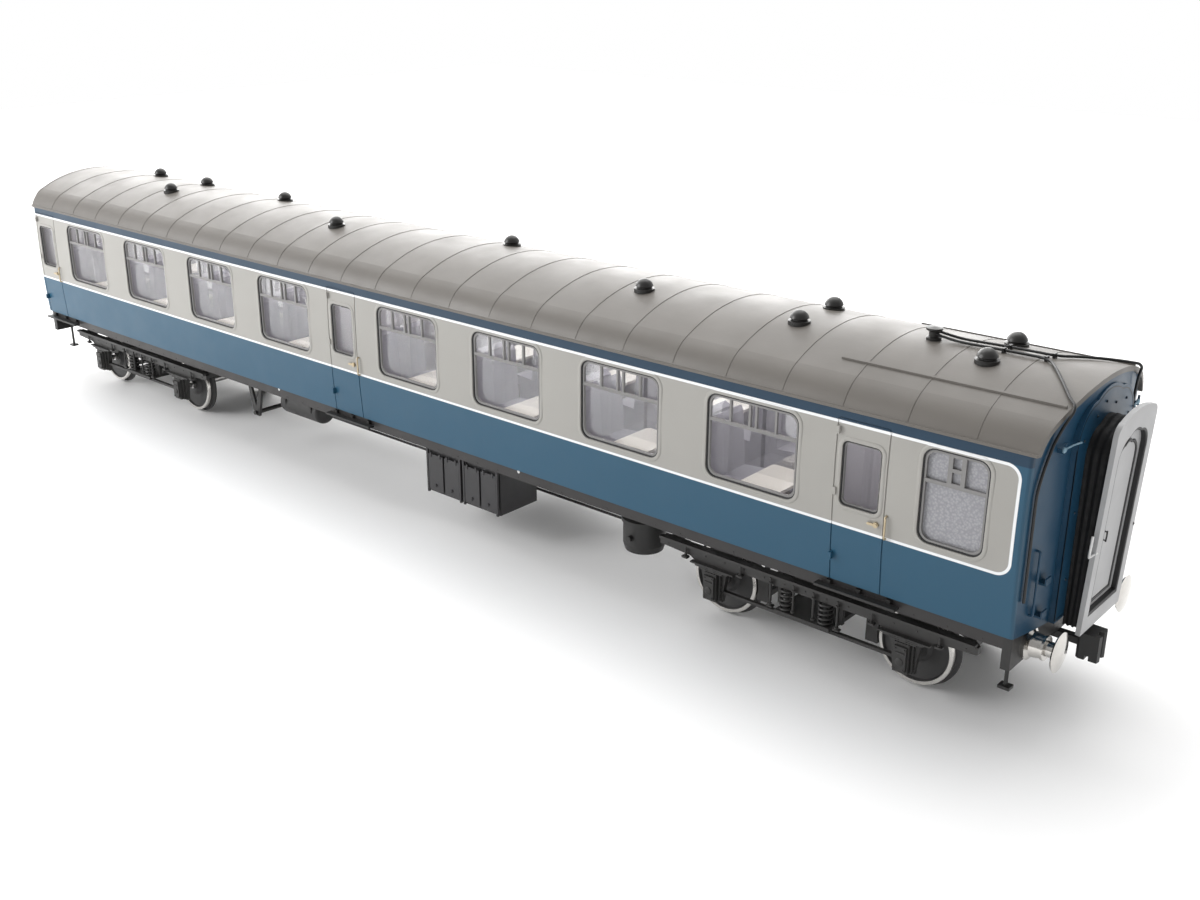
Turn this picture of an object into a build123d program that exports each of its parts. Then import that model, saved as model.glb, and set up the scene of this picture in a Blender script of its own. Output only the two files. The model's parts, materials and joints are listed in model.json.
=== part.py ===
from build123d import *

import os
from math import acos, asin, atan, cos, degrees, radians, sin, sqrt

os.makedirs("parts", exist_ok=True)

# A 7 mm to the foot (1:43.5) model of a bogie passenger coach with open saloons.
# Frame: +X along the coach towards its lavatory end, +Y across, +Z up.
# Origin: middle of the coach, level with the lowest point of the wheel flanges.

# ---------------------------------------------------------------- driving sizes
# Wheels and track (finescale 32 mm gauge)
flange_depth = 1.0
rail_top = flange_depth
tread_radius = 10.5
flange_radius = tread_radius + flange_depth
wheel_back = 14.6
flange_width = 0.9
wheel_face = 18.1
axle_z = rail_top + tread_radius
axle_radius = 1.5
journal_radius = 1.0
journal_end = 23.2
running_clearance = 0.06
wheelbase = 59.5
bogie_centres = 325.5
half_wheelbase = wheelbase / 2
half_centres = bogie_centres / 2

# Body
body_half_length = 222.0
end_bow = 3.8
body_bottom = 29.5
waist_z = 53.0
cantrail_z = 75.0
half_width_bottom = 30.4
half_width_waist = 31.5
half_width_cantrail = 31.0
inner_half_width = 29.4
inner_half_length = 219.6
end_panel_face = body_half_length + end_bow + 0.4

# Roof: a wide crown arc joined to a tighter shoulder arc on each side
roof_top = 87.7
crown_radius = 57.0
crown_half_width = 25.0
shoulder_radius = 12.4
roof_thickness = 1.3
roof_overhang = 0.35
roof_bow = 2.95
gutter_width = 0.4
gutter_height = 0.7
seam_pitch = 17.3
seam_width = 0.35
seam_height = 0.1

# Window and door layout, the same on both sides
bay = 44.2
window_centres = [148.5 - bay * i for i in range(4)] + [-48.6 - bay * i for i in range(4)]
window_width = 28.2
window_height = 23.4
window_z = 59.2
window_corner = 3.0
door_centres = [180.6, -16.3, -213.1]
door_width = 14.6
door_top = 73.2
door_window_width = 10.9
door_window_height = 17.0
door_window_z = 59.1
door_window_corner = 1.6
lavatory_x = 204.8
lavatory_width = 16.8
lavatory_height = 24.0
lavatory_z = 59.3
groove_width = 0.35
groove_depth = 0.25
fit_gap = 0.05
frame_back = 30.2
frame_front = 31.0
glass_back = 29.5

# Gangway
plate_lean = atan(2.4 / 55.0)
plate_bottom_x = 231.0
plate_bottom_z = 26.0
plate_half_width = 12.0
plate_height = 55.0
plate_thickness = 1.2
lining_depth = 1.0
lining_width = 0.9
doorway_half_width = 9.0
doorway_sill = 4.0
doorway_height = 46.0
doorway_corner = 5.5
door_recess = 1.3
door_thickness = 0.8
door_pocket = 0.5
bellows_half_width = 10.6
bellows_top = 77.0
bellows_pleats = 4

# Underframe
solebar_bottom = 25.8
solebar_face = 29.3
chassis_bottom = 27.9
headstock_face = 221.9
headstock_bottom = 20.6
buffer_y = 20.0
buffer_z = 24.6
buffer_head_radius = 5.0
buffer_front = 230.3
buffer_shank_radius = 1.9
buffer_tail = 224.6
coupler_pivot_x = 215.5
coupler_z = 18.8
pivot_radius = 2.0
bolster_top = 24.2
boss_bottom = 24.4

ends = (("front", 1), ("rear", -1))


# ------------------------------------------------------------- shared outlines
def roof_shoulder(angle, inset):
    """Point on the right-hand shoulder arc, at an angle from straight up."""
    join = asin(crown_half_width / crown_radius)
    centre_y = crown_half_width - shoulder_radius * sin(join)
    centre_z = roof_top - crown_radius + (crown_radius - shoulder_radius) * cos(join)
    reach = shoulder_radius - inset
    return (centre_y + reach * sin(angle), centre_z + reach * cos(angle))


def roof_eave(inset, level):
    """Angle of the shoulder arc where it comes down to a given height."""
    centre_z = roof_shoulder(0, inset)[1] - (shoulder_radius - inset)
    return acos((level - centre_z) / (shoulder_radius - inset))


def roof_arch(inset, level):
    """Draw the roof arch from eave to eave, inset from the outer skin."""
    join = asin(crown_half_width / crown_radius)
    low = roof_eave(inset, level)
    joint = roof_shoulder(join, inset)
    middle = roof_shoulder((join + low) / 2, inset)
    eave = roof_shoulder(low, inset)
    ThreePointArc((-eave[0], eave[1]), (-middle[0], middle[1]), (-joint[0], joint[1]))
    ThreePointArc((-joint[0], joint[1]), (0, roof_top - inset), joint)
    ThreePointArc(joint, middle, eave)
    return eave


def roof_z(y):
    """Height of the roof's outer skin over its crown, at a distance from the middle."""
    return roof_top - crown_radius + sqrt(crown_radius**2 - y**2)


def dome(radius, rise, fraction):
    """Offset from the rim plane of a shallow dome, at a fraction of its radius."""
    sphere = (radius**2 + rise**2) / (2 * rise)
    return rise - sphere + sqrt(sphere**2 - (radius * fraction) ** 2)


def bow_x(y, extra=0.0, bow=end_bow):
    """X of the bowed end wall at a distance from the middle."""
    radius = (half_width_cantrail**2 + bow**2) / (2 * bow)
    return body_half_length + end_bow + extra - radius + sqrt(radius**2 - y**2)


def bowed_plan(extra=0.0, bow=end_bow, reach=34.0):
    """Draw the plan outline of the coach, with both ends bowed."""
    corner = bow_x(reach, extra, bow)
    tip = bow_x(0, extra, bow)
    ThreePointArc((corner, -reach), (tip, 0), (corner, reach))
    Line((corner, reach), (-corner, reach))
    ThreePointArc((-corner, reach), (-tip, 0), (-corner, -reach))
    Line((-corner, -reach), (corner, -reach))


def body_sides(inset):
    """Draw the bottom and the curved sides of the body section."""
    foot = half_width_bottom - inset
    waist = half_width_waist - inset
    top = half_width_cantrail - inset
    Line((-foot, body_bottom), (foot, body_bottom))
    ThreePointArc((foot, body_bottom), (waist, waist_z), (top, cantrail_z))
    ThreePointArc((-foot, body_bottom), (-waist, waist_z), (-top, cantrail_z))


def arch_outline(half_width, bottom, top, corner):
    """Draw an upright panel outline with a gently arched top and round shoulders."""
    crown = 0.12 * half_width
    eave = top - crown - corner
    Line((-half_width, bottom), (half_width, bottom))
    Line((half_width, bottom), (half_width, eave))
    Line((-half_width, bottom), (-half_width, eave))
    lift = corner * (1 - sqrt(0.5))
    shoulder = (half_width - corner, top - crown)
    ThreePointArc((half_width, eave), (half_width - lift, top - crown - lift), shoulder)
    ThreePointArc(shoulder, (0, top), (-shoulder[0], shoulder[1]))
    ThreePointArc((-half_width, eave), (-half_width + lift, top - crown - lift), (-shoulder[0], shoulder[1]))


# ------------------------------------------------------------------------ body
with BuildPart() as body_skin_inner:
    with BuildSketch(Plane.YZ.offset(-half_centres * 2)):
        with BuildLine():
            body_sides(groove_depth)
            Line(
                (half_width_cantrail - groove_depth, cantrail_z),
                (groove_depth - half_width_cantrail, cantrail_z),
            )
        make_face()
    extrude(amount=half_centres * 4)

with BuildPart() as door_grooves:
    door_foot = body_bottom - 1.0
    for x in door_centres:
        with BuildSketch(Plane.XZ):
            with Locations((x, (door_top + door_foot) / 2)):
                RectangleRounded(door_width, door_top - door_foot, 0.9)
                RectangleRounded(
                    door_width - 2 * groove_width, door_top - door_foot - 2 * groove_width, 0.6, mode=Mode.SUBTRACT
                )
        extrude(amount=40, both=True)
    add(body_skin_inner.part, mode=Mode.SUBTRACT)

with BuildPart() as body_shell:
    with BuildSketch(Plane.YZ.offset(-half_centres * 2)):
        with BuildLine():
            body_sides(0.0)
            eave_point = roof_arch(roof_thickness, cantrail_z)
            Line((half_width_cantrail, cantrail_z), eave_point)
            Line((-half_width_cantrail, cantrail_z), (-eave_point[0], cantrail_z))
        make_face()
    extrude(amount=half_centres * 4)
    with BuildSketch(Plane.XY):
        with BuildLine():
            bowed_plan()
        make_face()
    extrude(amount=120, mode=Mode.INTERSECT)
    corner_edges = (
        body_shell.edges()
        .filter_by(lambda e: abs(e.center().Y) > 29 and abs(e.center().X) > 221 and e.length > 40)
    )
    fillet(corner_edges, radius=0.8)
    with Locations((0, 0, body_bottom)):
        Box(
            inner_half_length * 2, inner_half_width * 2, 80,
            align=(Align.CENTER, Align.CENTER, Align.MIN), mode=Mode.SUBTRACT,
        )
    # Flat arched panel on each end, behind the gangway
    for side in (1, -1):
        with BuildSketch(Plane.YZ.offset(side * (inner_half_length + 0.5))):
            with BuildLine():
                arch_outline(16.5, body_bottom, 85.0, 9.0)
            make_face()
        extrude(amount=side * (end_panel_face - inner_half_length - 0.5))
    # Window openings through both sides
    with BuildSketch(Plane.XZ):
        with Locations([(x, window_z) for x in window_centres]):
            RectangleRounded(window_width, window_height, window_corner)
        with Locations([(x, door_window_z) for x in door_centres]):
            RectangleRounded(door_window_width, door_window_height, door_window_corner)
        with Locations((lavatory_x, lavatory_z)):
            RectangleRounded(lavatory_width, lavatory_height, window_corner)
    extrude(amount=40, both=True, mode=Mode.SUBTRACT)
    add(door_grooves.part, mode=Mode.SUBTRACT)
body_shell.part.label = "body_shell"
export_step(body_shell.part, "parts/body_shell.step")

# ------------------------------------------------------------------------ roof
eave_outer = cantrail_z + gutter_height
with BuildPart() as roof:
    with BuildSketch(Plane.YZ.offset(-half_centres * 2)):
        with BuildLine():
            outer_eave = roof_arch(0.0, eave_outer)
            inner_eave = roof_arch(roof_thickness, cantrail_z)
            lip = half_width_cantrail + gutter_width
            for side in (1, -1):
                Polyline(
                    (side * outer_eave[0], eave_outer),
                    (side * lip, eave_outer),
                    (side * lip, cantrail_z),
                    (side * inner_eave[0], cantrail_z),
                )
        make_face()
    extrude(amount=half_centres * 4)
    # Raised seams between the roof sheets
    seam_count = 26
    first_seam = 208.6 - seam_pitch * (seam_count - 1)
    for i in range(seam_count):
        with BuildSketch(Plane.YZ.offset(first_seam + i * seam_pitch - seam_width / 2)):
            with BuildLine():
                high = roof_arch(-seam_height, eave_outer + 0.3)
                low = roof_arch(0.4, eave_outer + 0.3)
                Line(high, low)
                Line((-high[0], high[1]), (-low[0], low[1]))
            make_face()
        extrude(amount=seam_width)
    with BuildSketch(Plane.XY):
        with BuildLine():
            bowed_plan(roof_overhang, roof_bow)
        make_face()
    extrude(amount=120, mode=Mode.INTERSECT)
roof.part.label = "roof"
export_step(roof.part, "parts/roof.step")

# Thin layer just above the roof skin, used to shape the strips that follow it
strip_height = 0.5
with BuildPart() as roof_layer:
    with BuildSketch(Plane.YZ.offset(-half_centres * 2)):
        with BuildLine():
            high = roof_arch(-strip_height, eave_outer + 0.3)
            low = roof_arch(roof_thickness, eave_outer + 0.3)
            Line(high, low)
            Line((-high[0], high[1]), (-low[0], low[1]))
        make_face()
    extrude(amount=half_centres * 4)
    with BuildSketch(Plane.XY):
        with BuildLine():
            bowed_plan(roof_overhang, roof_bow)
        make_face()
    extrude(amount=120, mode=Mode.INTERSECT)

strip_width = 0.6
strip_y = 20.3
strip_start = 167.0
strip_end = 224.0
with BuildPart() as rain_strips:
    for side in (1, -1):
        with BuildSketch(Plane.XY.offset(80)):
            with Locations(((strip_start + strip_end) / 2, side * strip_y)):
                Rectangle(strip_end - strip_start, strip_width)
        extrude(amount=20)
    add(roof_layer.part, mode=Mode.INTERSECT)
    add(roof.part, mode=Mode.SUBTRACT)
rain_strips.part.label = "rain_strips"
export_step(rain_strips.part, "parts/rain_strips.step")

# Domed extractor ventilators in two rows
vent_y = 8.8
vent_radius = 2.6
vent_seat = roof_z(vent_y)
vent_foot = vent_seat - 1.0
vent_rim = vent_seat + 1.3
vent_rise = 2.1
vents_minus = [-149.1, -44.6, 94.6, 146.8, 199.3]
vents_plus = [-185.0, -150.4, -98.0, 24.3, 146.5, 198.7]
vent_places = [(x, -vent_y, 0) for x in vents_minus] + [(x, vent_y, 0) for x in vents_plus]
with BuildPart() as one_vent:
    with BuildSketch(Plane.XZ):
        with BuildLine():
            Polyline(
                (0, vent_foot), (3.0, vent_foot), (3.0, vent_seat + 0.6), (2.2, vent_seat + 0.8),
                (2.2, vent_seat + 1.0), (vent_radius, vent_rim),
            )
            ThreePointArc(
                (vent_radius, vent_rim),
                (vent_radius * 0.7, vent_rim + dome(vent_radius, vent_rise, 0.7)),
                (0, vent_rim + vent_rise),
            )
            Line((0, vent_rim + vent_rise), (0, vent_foot))
        make_face()
    revolve(axis=Axis.Z)
with BuildPart() as roof_vents:
    with Locations(vent_places):
        add(one_vent.part)
    add(roof.part, mode=Mode.SUBTRACT)
    inside_roof = roof_vents.solids().filter_by(lambda s: s.center().Z < vent_seat - 0.4)
    for scrap in inside_roof:
        add(scrap, mode=Mode.SUBTRACT)
roof_vents.part.label = "roof_vents"
export_step(roof_vents.part, "parts/roof_vents.step")

# Water filler with its flared cap
filler_x = 181.8
filler_y = -2.0
with BuildPart() as water_filler_cap:
    with BuildSketch(Plane.XZ):
        with BuildLine():
            Polyline(
                (0, roof_top), (1.9, roof_top), (1.9, roof_top + 0.5), (1.3, roof_top + 0.8),
                (1.3, roof_top + 2.0), (2.1, roof_top + 2.5), (2.1, roof_top + 3.0), (0, roof_top + 3.3),
                (0, roof_top),
            )
        make_face()
    revolve(axis=Axis.Z)
    with Locations((0, 0, roof_top - 0.2)):
        Cylinder(1.9, 0.4, align=(Align.CENTER, Align.CENTER, Align.MIN))
with BuildPart() as water_filler_placed:
    with Locations((filler_x, filler_y, 0)):
        add(water_filler_cap.part)
    add(roof.part, mode=Mode.SUBTRACT)
water_filler_placed.part.label = "water_filler_cap"
export_step(water_filler_placed.part, "parts/water_filler_cap.step")

# Two filling pipes run from the filler over the roof and down the end
pipe_radius = 0.35
pipe_lift = 0.6
pipe_stand = 0.6


def over_roof(x, y, lift=pipe_lift):
    """Route point just above the roof."""
    return (x, y, roof_z(y) + lift)


def down_end(y, z, stand=pipe_stand):
    """Route point just in front of the bowed end wall."""
    return (bow_x(y) + stand, y, z)


left_pipe = [
    (filler_x + 1.0, filler_y - 0.6, roof_top + 1.5),
    over_roof(188.0, -2.0),
    over_roof(200.0, -1.4),
    over_roof(211.4, -1.2),
    over_roof(215.6, -7.0),
    over_roof(219.7, -12.7),
    over_roof(223.4, -17.8, 0.7),
    (226.3, -20.7, 84.6),
    down_end(-22.8, 80.4, 1.0),
    down_end(-24.9, 77.0),
    down_end(-27.2, 72.0),
    down_end(-29.0, 66.0),
    down_end(-28.8, 38.8),
]
right_pipe = [
    (filler_x + 1.0, filler_y + 0.6, roof_top + 2.0),
    over_roof(188.0, 0.8),
    over_roof(200.0, 2.2),
    over_roof(211.8, 2.4),
    over_roof(216.2, 7.2),
    over_roof(220.2, 11.6),
    over_roof(223.6, 15.4, 0.7),
    (226.6, 17.9, 85.6),
    down_end(19.4, 81.8, 1.0),
    down_end(19.8, 76.0),
    down_end(19.8, 41.4),
]


def pipe_bends(route):
    """Bend radius for each inner corner: as large as its two runs allow."""
    bends = []
    for before, corner, after in zip(route, route[1:], route[2:]):
        first = Vector(*corner) - Vector(*before)
        second = Vector(*after) - Vector(*corner)
        half_turn = radians(first.get_angle(second)) / 2
        bends.append(0.42 * min(first.length, second.length) / (sin(half_turn) / cos(half_turn)))
    return bends


with BuildPart() as roof_pipes:
    for route in (left_pipe, right_pipe):
        with BuildLine() as pipe_path:
            FilletPolyline(*route, radius=pipe_bends(route))
        with BuildSketch(Plane(origin=pipe_path.line @ 0, z_dir=pipe_path.line % 0)):
            Circle(pipe_radius)
        sweep(path=pipe_path.line)
    add(water_filler_placed.part, mode=Mode.SUBTRACT)
roof_pipes.part.label = "roof_pipes"
export_step(roof_pipes.part, "parts/roof_pipes.step")

# Saddle clips that hold the filling pipes to the roof
clip_places = [(200.0, -1.4), (210.6, -1.2), (200.0, 2.2), (211.0, 2.4)]
with BuildPart() as pipe_clips:
    for x, y in clip_places:
        with BuildSketch(Plane.XY.offset(roof_top - 1.0)):
            with Locations((x, y)):
                Rectangle(0.6, 1.5)
        extrude(amount=1.0 + pipe_lift + pipe_radius + 0.2)
    add(roof.part, mode=Mode.SUBTRACT)
    add(roof_pipes.part, mode=Mode.SUBTRACT)
    for scrap in pipe_clips.solids().filter_by(lambda s: s.volume < 0.15):
        add(scrap, mode=Mode.SUBTRACT)
pipe_clips.part.label = "pipe_clips"
export_step(pipe_clips.part, "parts/pipe_clips.step")

# --------------------------------------------------------------------- windows
bar_z = 63.6
bar_height = 0.9
pillar = 0.6


def frame_ring(x, z, width, height, corner, border):
    """Draw one window frame ring."""
    with Locations((x, z)):
        RectangleRounded(width - 2 * fit_gap, height - 2 * fit_gap, corner - fit_gap)
        RectangleRounded(width - 2 * border, height - 2 * border, corner - border / 2, mode=Mode.SUBTRACT)


with BuildPart() as window_frames:
    for side in (1, -1):
        with BuildSketch(Plane.XZ.offset(side * frame_back)):
            # Saloon windows, with the bar and pillars of their sliding ventilators
            for x in window_centres:
                frame_ring(x, window_z, window_width, window_height, window_corner, 0.9)
                with Locations((x, bar_z)):
                    Rectangle(window_width - 1.6, bar_height)
                pillar_height = window_z + window_height / 2 - bar_z - 0.6
                pillar_places = [(x + dx, bar_z + pillar_height / 2) for dx in (-7.0, -1.0, 1.0, 7.0)]
                with Locations(pillar_places):
                    Rectangle(pillar, pillar_height)
            for x in door_centres:
                frame_ring(x, door_window_z, door_window_width, door_window_height, door_window_corner, 0.6)
            # Lavatory window, with its hit-and-miss ventilator
            frame_ring(lavatory_x, lavatory_z, lavatory_width, lavatory_height, window_corner, 0.9)
            with Locations((lavatory_x, bar_z - 0.6)):
                Rectangle(lavatory_width - 1.6, bar_height)
            with Locations((lavatory_x, 66.9)):
                Rectangle(4.4, 8.0)
            with Locations((lavatory_x, 65.1), (lavatory_x, 68.7)):
                Rectangle(2.2, 2.7, mode=Mode.SUBTRACT)
        extrude(amount=side * (frame_front - frame_back))
window_frames.part.label = "window_frames"
export_step(window_frames.part, "parts/window_frames.step")

with BuildPart() as window_glazing:
    for side in (1, -1):
        with BuildSketch(Plane.XZ.offset(side * glass_back)):
            with Locations([(x, window_z) for x in window_centres]):
                RectangleRounded(window_width - 2 * fit_gap, window_height - 2 * fit_gap, window_corner)
            with Locations([(x, door_window_z) for x in door_centres]):
                RectangleRounded(
                    door_window_width - 2 * fit_gap, door_window_height - 2 * fit_gap, door_window_corner
                )
        extrude(amount=side * (frame_back - glass_back))
window_glazing.part.label = "window_glazing"
export_step(window_glazing.part, "parts/window_glazing.step")

with BuildPart() as frosted_glazing:
    for side in (1, -1):
        with BuildSketch(Plane.XZ.offset(side * glass_back)):
            with Locations((lavatory_x, lavatory_z)):
                RectangleRounded(lavatory_width - 2 * fit_gap, lavatory_height - 2 * fit_gap, window_corner)
        extrude(amount=side * (frame_back - glass_back))
frosted_glazing.part.label = "frosted_glazing"
export_step(frosted_glazing.part, "parts/frosted_glazing.step")

# --------------------------------------------------------------- door furniture
hinge_offset = -door_width / 2
latch_offset = 5.2
grab_offset = 7.9
with BuildPart() as door_hinges:
    for side in (1, -1):
        for x in door_centres:
            for z in (36.4, 54.0, 70.0):
                with Locations((x + hinge_offset + 0.6, side * half_width_cantrail, z)):
                    Box(0.8, 2.2, 1.9)
    add(body_shell.part, mode=Mode.SUBTRACT)
    for scrap in door_hinges.solids().filter_by(lambda s: abs(s.center().Y) < 30.5):
        add(scrap, mode=Mode.SUBTRACT)
door_hinges.part.label = "door_hinges"
export_step(door_hinges.part, "parts/door_hinges.step")

with BuildPart() as door_handles:
    for side in (1, -1):
        for x in door_centres:
            with BuildSketch(Plane.XZ.offset(-side * 31.2)):
                with Locations((x + latch_offset, 48.2)):
                    Circle(0.7)
            extrude(amount=-side * 0.8)
            with BuildSketch(Plane.XZ.offset(-side * 31.75)):
                with Locations((x + latch_offset - 0.9, 48.2)):
                    SlotOverall(2.8, 0.6)
            extrude(amount=-side * 0.4)
    add(body_shell.part, mode=Mode.SUBTRACT)
door_handles.part.label = "door_handles"
export_step(door_handles.part, "parts/door_handles.step")

grab_low = 45.2
grab_high = 51.2
grab_stand = 32.2
with BuildPart() as grab_handles:
    for side in (1, -1):
        for x in door_centres:
            place = x + grab_offset
            with BuildLine() as grab_path:
                FilletPolyline(
                    (place, side * 30.6, grab_low), (place, side * grab_stand, grab_low),
                    (place, side * grab_stand, grab_high), (place, side * 30.6, grab_high),
                    radius=0.5,
                )
            with BuildSketch(Plane(origin=grab_path.line @ 0, z_dir=grab_path.line % 0)):
                Circle(0.27)
            sweep(path=grab_path.line)
    add(body_shell.part, mode=Mode.SUBTRACT)
    for scrap in grab_handles.solids().filter_by(lambda s: s.volume < 0.8):
        add(scrap, mode=Mode.SUBTRACT)
grab_handles.part.label = "grab_handles"
export_step(grab_handles.part, "parts/grab_handles.step")

# -------------------------------------------------------------------- end detail
rail_y = 25.4
rail_foot = 34.4
rail_head = 50.8
with BuildPart() as end_fittings:
    for side in (1, -1):
        # Short handrails low on both corners of the end, each on two pillars
        for y in (rail_y, -rail_y):
            stand = bow_x(rail_y) + 1.0
            with BuildLine() as rail_path:
                FilletPolyline(
                    (side * (stand - 2.0), y, rail_foot), (side * stand, y, rail_foot),
                    (side * stand, y, rail_head), (side * (stand - 2.0), y, rail_head),
                    radius=0.5,
                )
            with BuildSketch(Plane(origin=rail_path.line @ 0, z_dir=rail_path.line % 0)):
                Circle(0.3)
            sweep(path=rail_path.line)
        # Lamp irons and end steps
        for y in (22.0, -22.0):
            for z in (42.0, 33.5):
                with Locations((side * (bow_x(22.0) + 0.6), y, z)):
                    Box(2.4, 2.8, 0.5)
                with Locations((side * (bow_x(22.0) + 1.6), y, z + 0.7)):
                    Box(0.4, 2.8, 1.6)
            with Locations((side * (bow_x(22.0) + 0.5), y, 74.4)):
                Box(2.0, 0.5, 1.0)
            with Locations((side * (bow_x(22.0) + 1.5), y, 75.2)):
                Box(0.5, 0.5, 2.6)
    add(body_shell.part, mode=Mode.SUBTRACT)
    for scrap in end_fittings.solids().filter_by(lambda s: s.volume < 0.3):
        add(scrap, mode=Mode.SUBTRACT)
end_fittings.part.label = "end_fittings"
export_step(end_fittings.part, "parts/end_fittings.step")

# -------------------------------------------------------------------- interior
floor_top = body_bottom + 1.2
with BuildPart() as interior_floor:
    with Locations((0, 0, body_bottom)):
        Box(
            2 * inner_half_length - 0.2, 2 * inner_half_width - 0.2, floor_top - body_bottom,
            align=(Align.CENTER, Align.CENTER, Align.MIN),
        )
interior_floor.part.label = "interior_floor"
export_step(interior_floor.part, "parts/interior_floor.step")

seat_inner = 8.0
seat_outer = 28.8
with BuildPart() as seats:
    for x in window_centres:
        for way in (1, -1):
            for side in (1, -1):
                with BuildSketch(Plane.XZ.offset(-side * seat_inner)):
                    with BuildLine():
                        Polyline(
                            (x + way * 11.6, floor_top), (x + way * 21.4, floor_top),
                            (x + way * 21.4, 59.0), (x + way * 19.4, 60.0), (x + way * 18.6, 58.6),
                            (x + way * 17.4, 42.6), (x + way * 9.8, 43.2), (x + way * 9.4, 40.6),
                            (x + way * 11.6, 39.8), (x + way * 11.6, floor_top),
                        )
                    make_face()
                extrude(amount=-side * (seat_outer - seat_inner))
seats.part.label = "seats"
export_step(seats.part, "parts/seats.step")

table_top = 46.4
with BuildPart() as tables:
    for x in window_centres:
        for side in (1, -1):
            with BuildSketch(Plane.XY.offset(table_top - 0.9)):
                with Locations((x, side * (10.5 + 29.0) / 2)):
                    RectangleRounded(12.4, 29.0 - 10.5, 1.2)
            extrude(amount=0.9)
            with BuildSketch(Plane.XY.offset(floor_top)):
                with Locations((x, side * 14.0)):
                    Rectangle(2.4, 1.4)
            extrude(amount=table_top - 0.9 - floor_top)
tables.part.label = "tables"
export_step(tables.part, "parts/tables.step")

# Cross walls with a doorway in each, and the two lavatory compartments
wall = 1.0
lavatory_wall = 189.4
with BuildPart() as partitions:
    for x in (172.0, -6.4, -26.4, -204.6):
        with BuildSketch(Plane.YZ.offset(x - wall / 2)):
            with Locations((0, (floor_top + 74.0) / 2)):
                Rectangle(2 * (inner_half_width - 0.2), 74.0 - floor_top)
            with Locations((0, (floor_top + 67.0) / 2)):
                Rectangle(11.0, 67.0 - floor_top, mode=Mode.SUBTRACT)
        extrude(amount=wall)
    for side in (1, -1):
        with BuildSketch(Plane.XY.offset(floor_top)):
            with BuildLine():
                Polyline(
                    (lavatory_wall, side * (inner_half_width - 0.2)), (lavatory_wall, side * 8.0),
                    (219.4, side * 8.0), (219.4, side * 9.0), (lavatory_wall + wall, side * 9.0),
                    (lavatory_wall + wall, side * (inner_half_width - 0.2)),
                    (lavatory_wall, side * (inner_half_width - 0.2)),
                )
            make_face()
        extrude(amount=74.0 - floor_top)
partitions.part.label = "partitions"
export_step(partitions.part, "parts/partitions.step")

# ------------------------------------------------------------------- underframe
with BuildPart() as chassis_plate:
    with Locations((0, 0, chassis_bottom)):
        Box(
            2 * inner_half_length, 2 * 28.1, body_bottom - chassis_bottom,
            align=(Align.CENTER, Align.CENTER, Align.MIN),
        )
    # Centre girders and cross bearers between the bogies
    for side in (1, -1):
        with Locations((0, side * 7.0, chassis_bottom)):
            Box(210, 1.4, 4.2, align=(Align.CENTER, Align.CENTER, Align.MAX))
    with Locations([(x, 0, chassis_bottom) for x in (-100, -60, -20, 10, 60, 84)]):
        Box(1.4, 52.0, 3.0, align=(Align.CENTER, Align.CENTER, Align.MAX))
    with Locations((half_centres, 0, chassis_bottom), (-half_centres, 0, chassis_bottom)):
        Cylinder(5.0, chassis_bottom - boss_bottom, align=(Align.CENTER, Align.CENTER, Align.MAX))
chassis_plate.part.label = "chassis_plate"
export_step(chassis_plate.part, "parts/chassis_plate.step")

with BuildPart() as solebars:
    for side in (1, -1):
        with BuildSketch(Plane.YZ.offset(-inner_half_length)):
            with BuildLine():
                Polyline(
                    (side * 28.1, body_bottom), (side * solebar_face, body_bottom),
                    (side * solebar_face, solebar_bottom), (side * 26.4, solebar_bottom),
                    (side * 26.4, solebar_bottom + 0.7), (side * 28.1, solebar_bottom + 0.7),
                    (side * 28.1, body_bottom),
                )
            make_face()
        extrude(amount=2 * inner_half_length)
solebars.part.label = "solebars"
export_step(solebars.part, "parts/solebars.step")

# Buffer beams with the drawgear pocket below each
pin_radius = 0.7
with BuildPart() as headstocks:
    for side in (1, -1):
        with Locations((side * (inner_half_length + headstock_face) / 2, 0, headstock_bottom)):
            Box(
                headstock_face - inner_half_length, 58.6, body_bottom - headstock_bottom,
                align=(Align.CENTER, Align.CENTER, Align.MIN),
            )
        with Locations((side * 217.8, 0, 20.0)):
            Box(8.2, 9.0, 1.2, align=(Align.CENTER, Align.CENTER, Align.MIN))
        for y in (4.2, -4.2):
            with Locations((side * 215.9, y, 16.4)):
                Box(4.4, 0.6, 3.7, align=(Align.CENTER, Align.CENTER, Align.MIN))
        with Locations((side * 215.9, 0, 16.4)):
            Box(4.4, 9.0, 0.8, align=(Align.CENTER, Align.CENTER, Align.MIN))
    with Locations((coupler_pivot_x, 0, 18.8), (-coupler_pivot_x, 0, 18.8)):
        Cylinder(pin_radius, 12, mode=Mode.SUBTRACT)
headstocks.part.label = "headstocks"
export_step(headstocks.part, "parts/headstocks.step")

with BuildPart() as coupler_pins:
    with Locations((coupler_pivot_x, 0, 0), (-coupler_pivot_x, 0, 0)):
        with Locations((0, 0, 16.4)):
            Cylinder(pin_radius, 21.2 - 16.4, align=(Align.CENTER, Align.CENTER, Align.MIN))
        with Locations((0, 0, 16.4)):
            Cylinder(1.2, 0.6, align=(Align.CENTER, Align.CENTER, Align.MAX))
coupler_pins.part.label = "coupler_pins"
export_step(coupler_pins.part, "parts/coupler_pins.step")

# Stepboards hung below the doors
board_ends = ((170.0, 193.0), (-27.5, -4.5), (-221.0, -198.0))
with BuildPart() as footboards:
    for side in (1, -1):
        for low_x, high_x in board_ends:
            middle = (low_x + high_x) / 2
            with Locations((middle, side * 31.1, 27.4)):
                Box(high_x - low_x, 2.4, 0.7)
            with Locations((middle - 8.5, side * 29.75, 27.8), (middle, side * 29.75, 27.8),
                           (middle + 8.5, side * 29.75, 27.8)):
                Box(1.2, 0.9, 1.9)
footboards.part.label = "footboards"
export_step(footboards.part, "parts/footboards.step")

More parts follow.
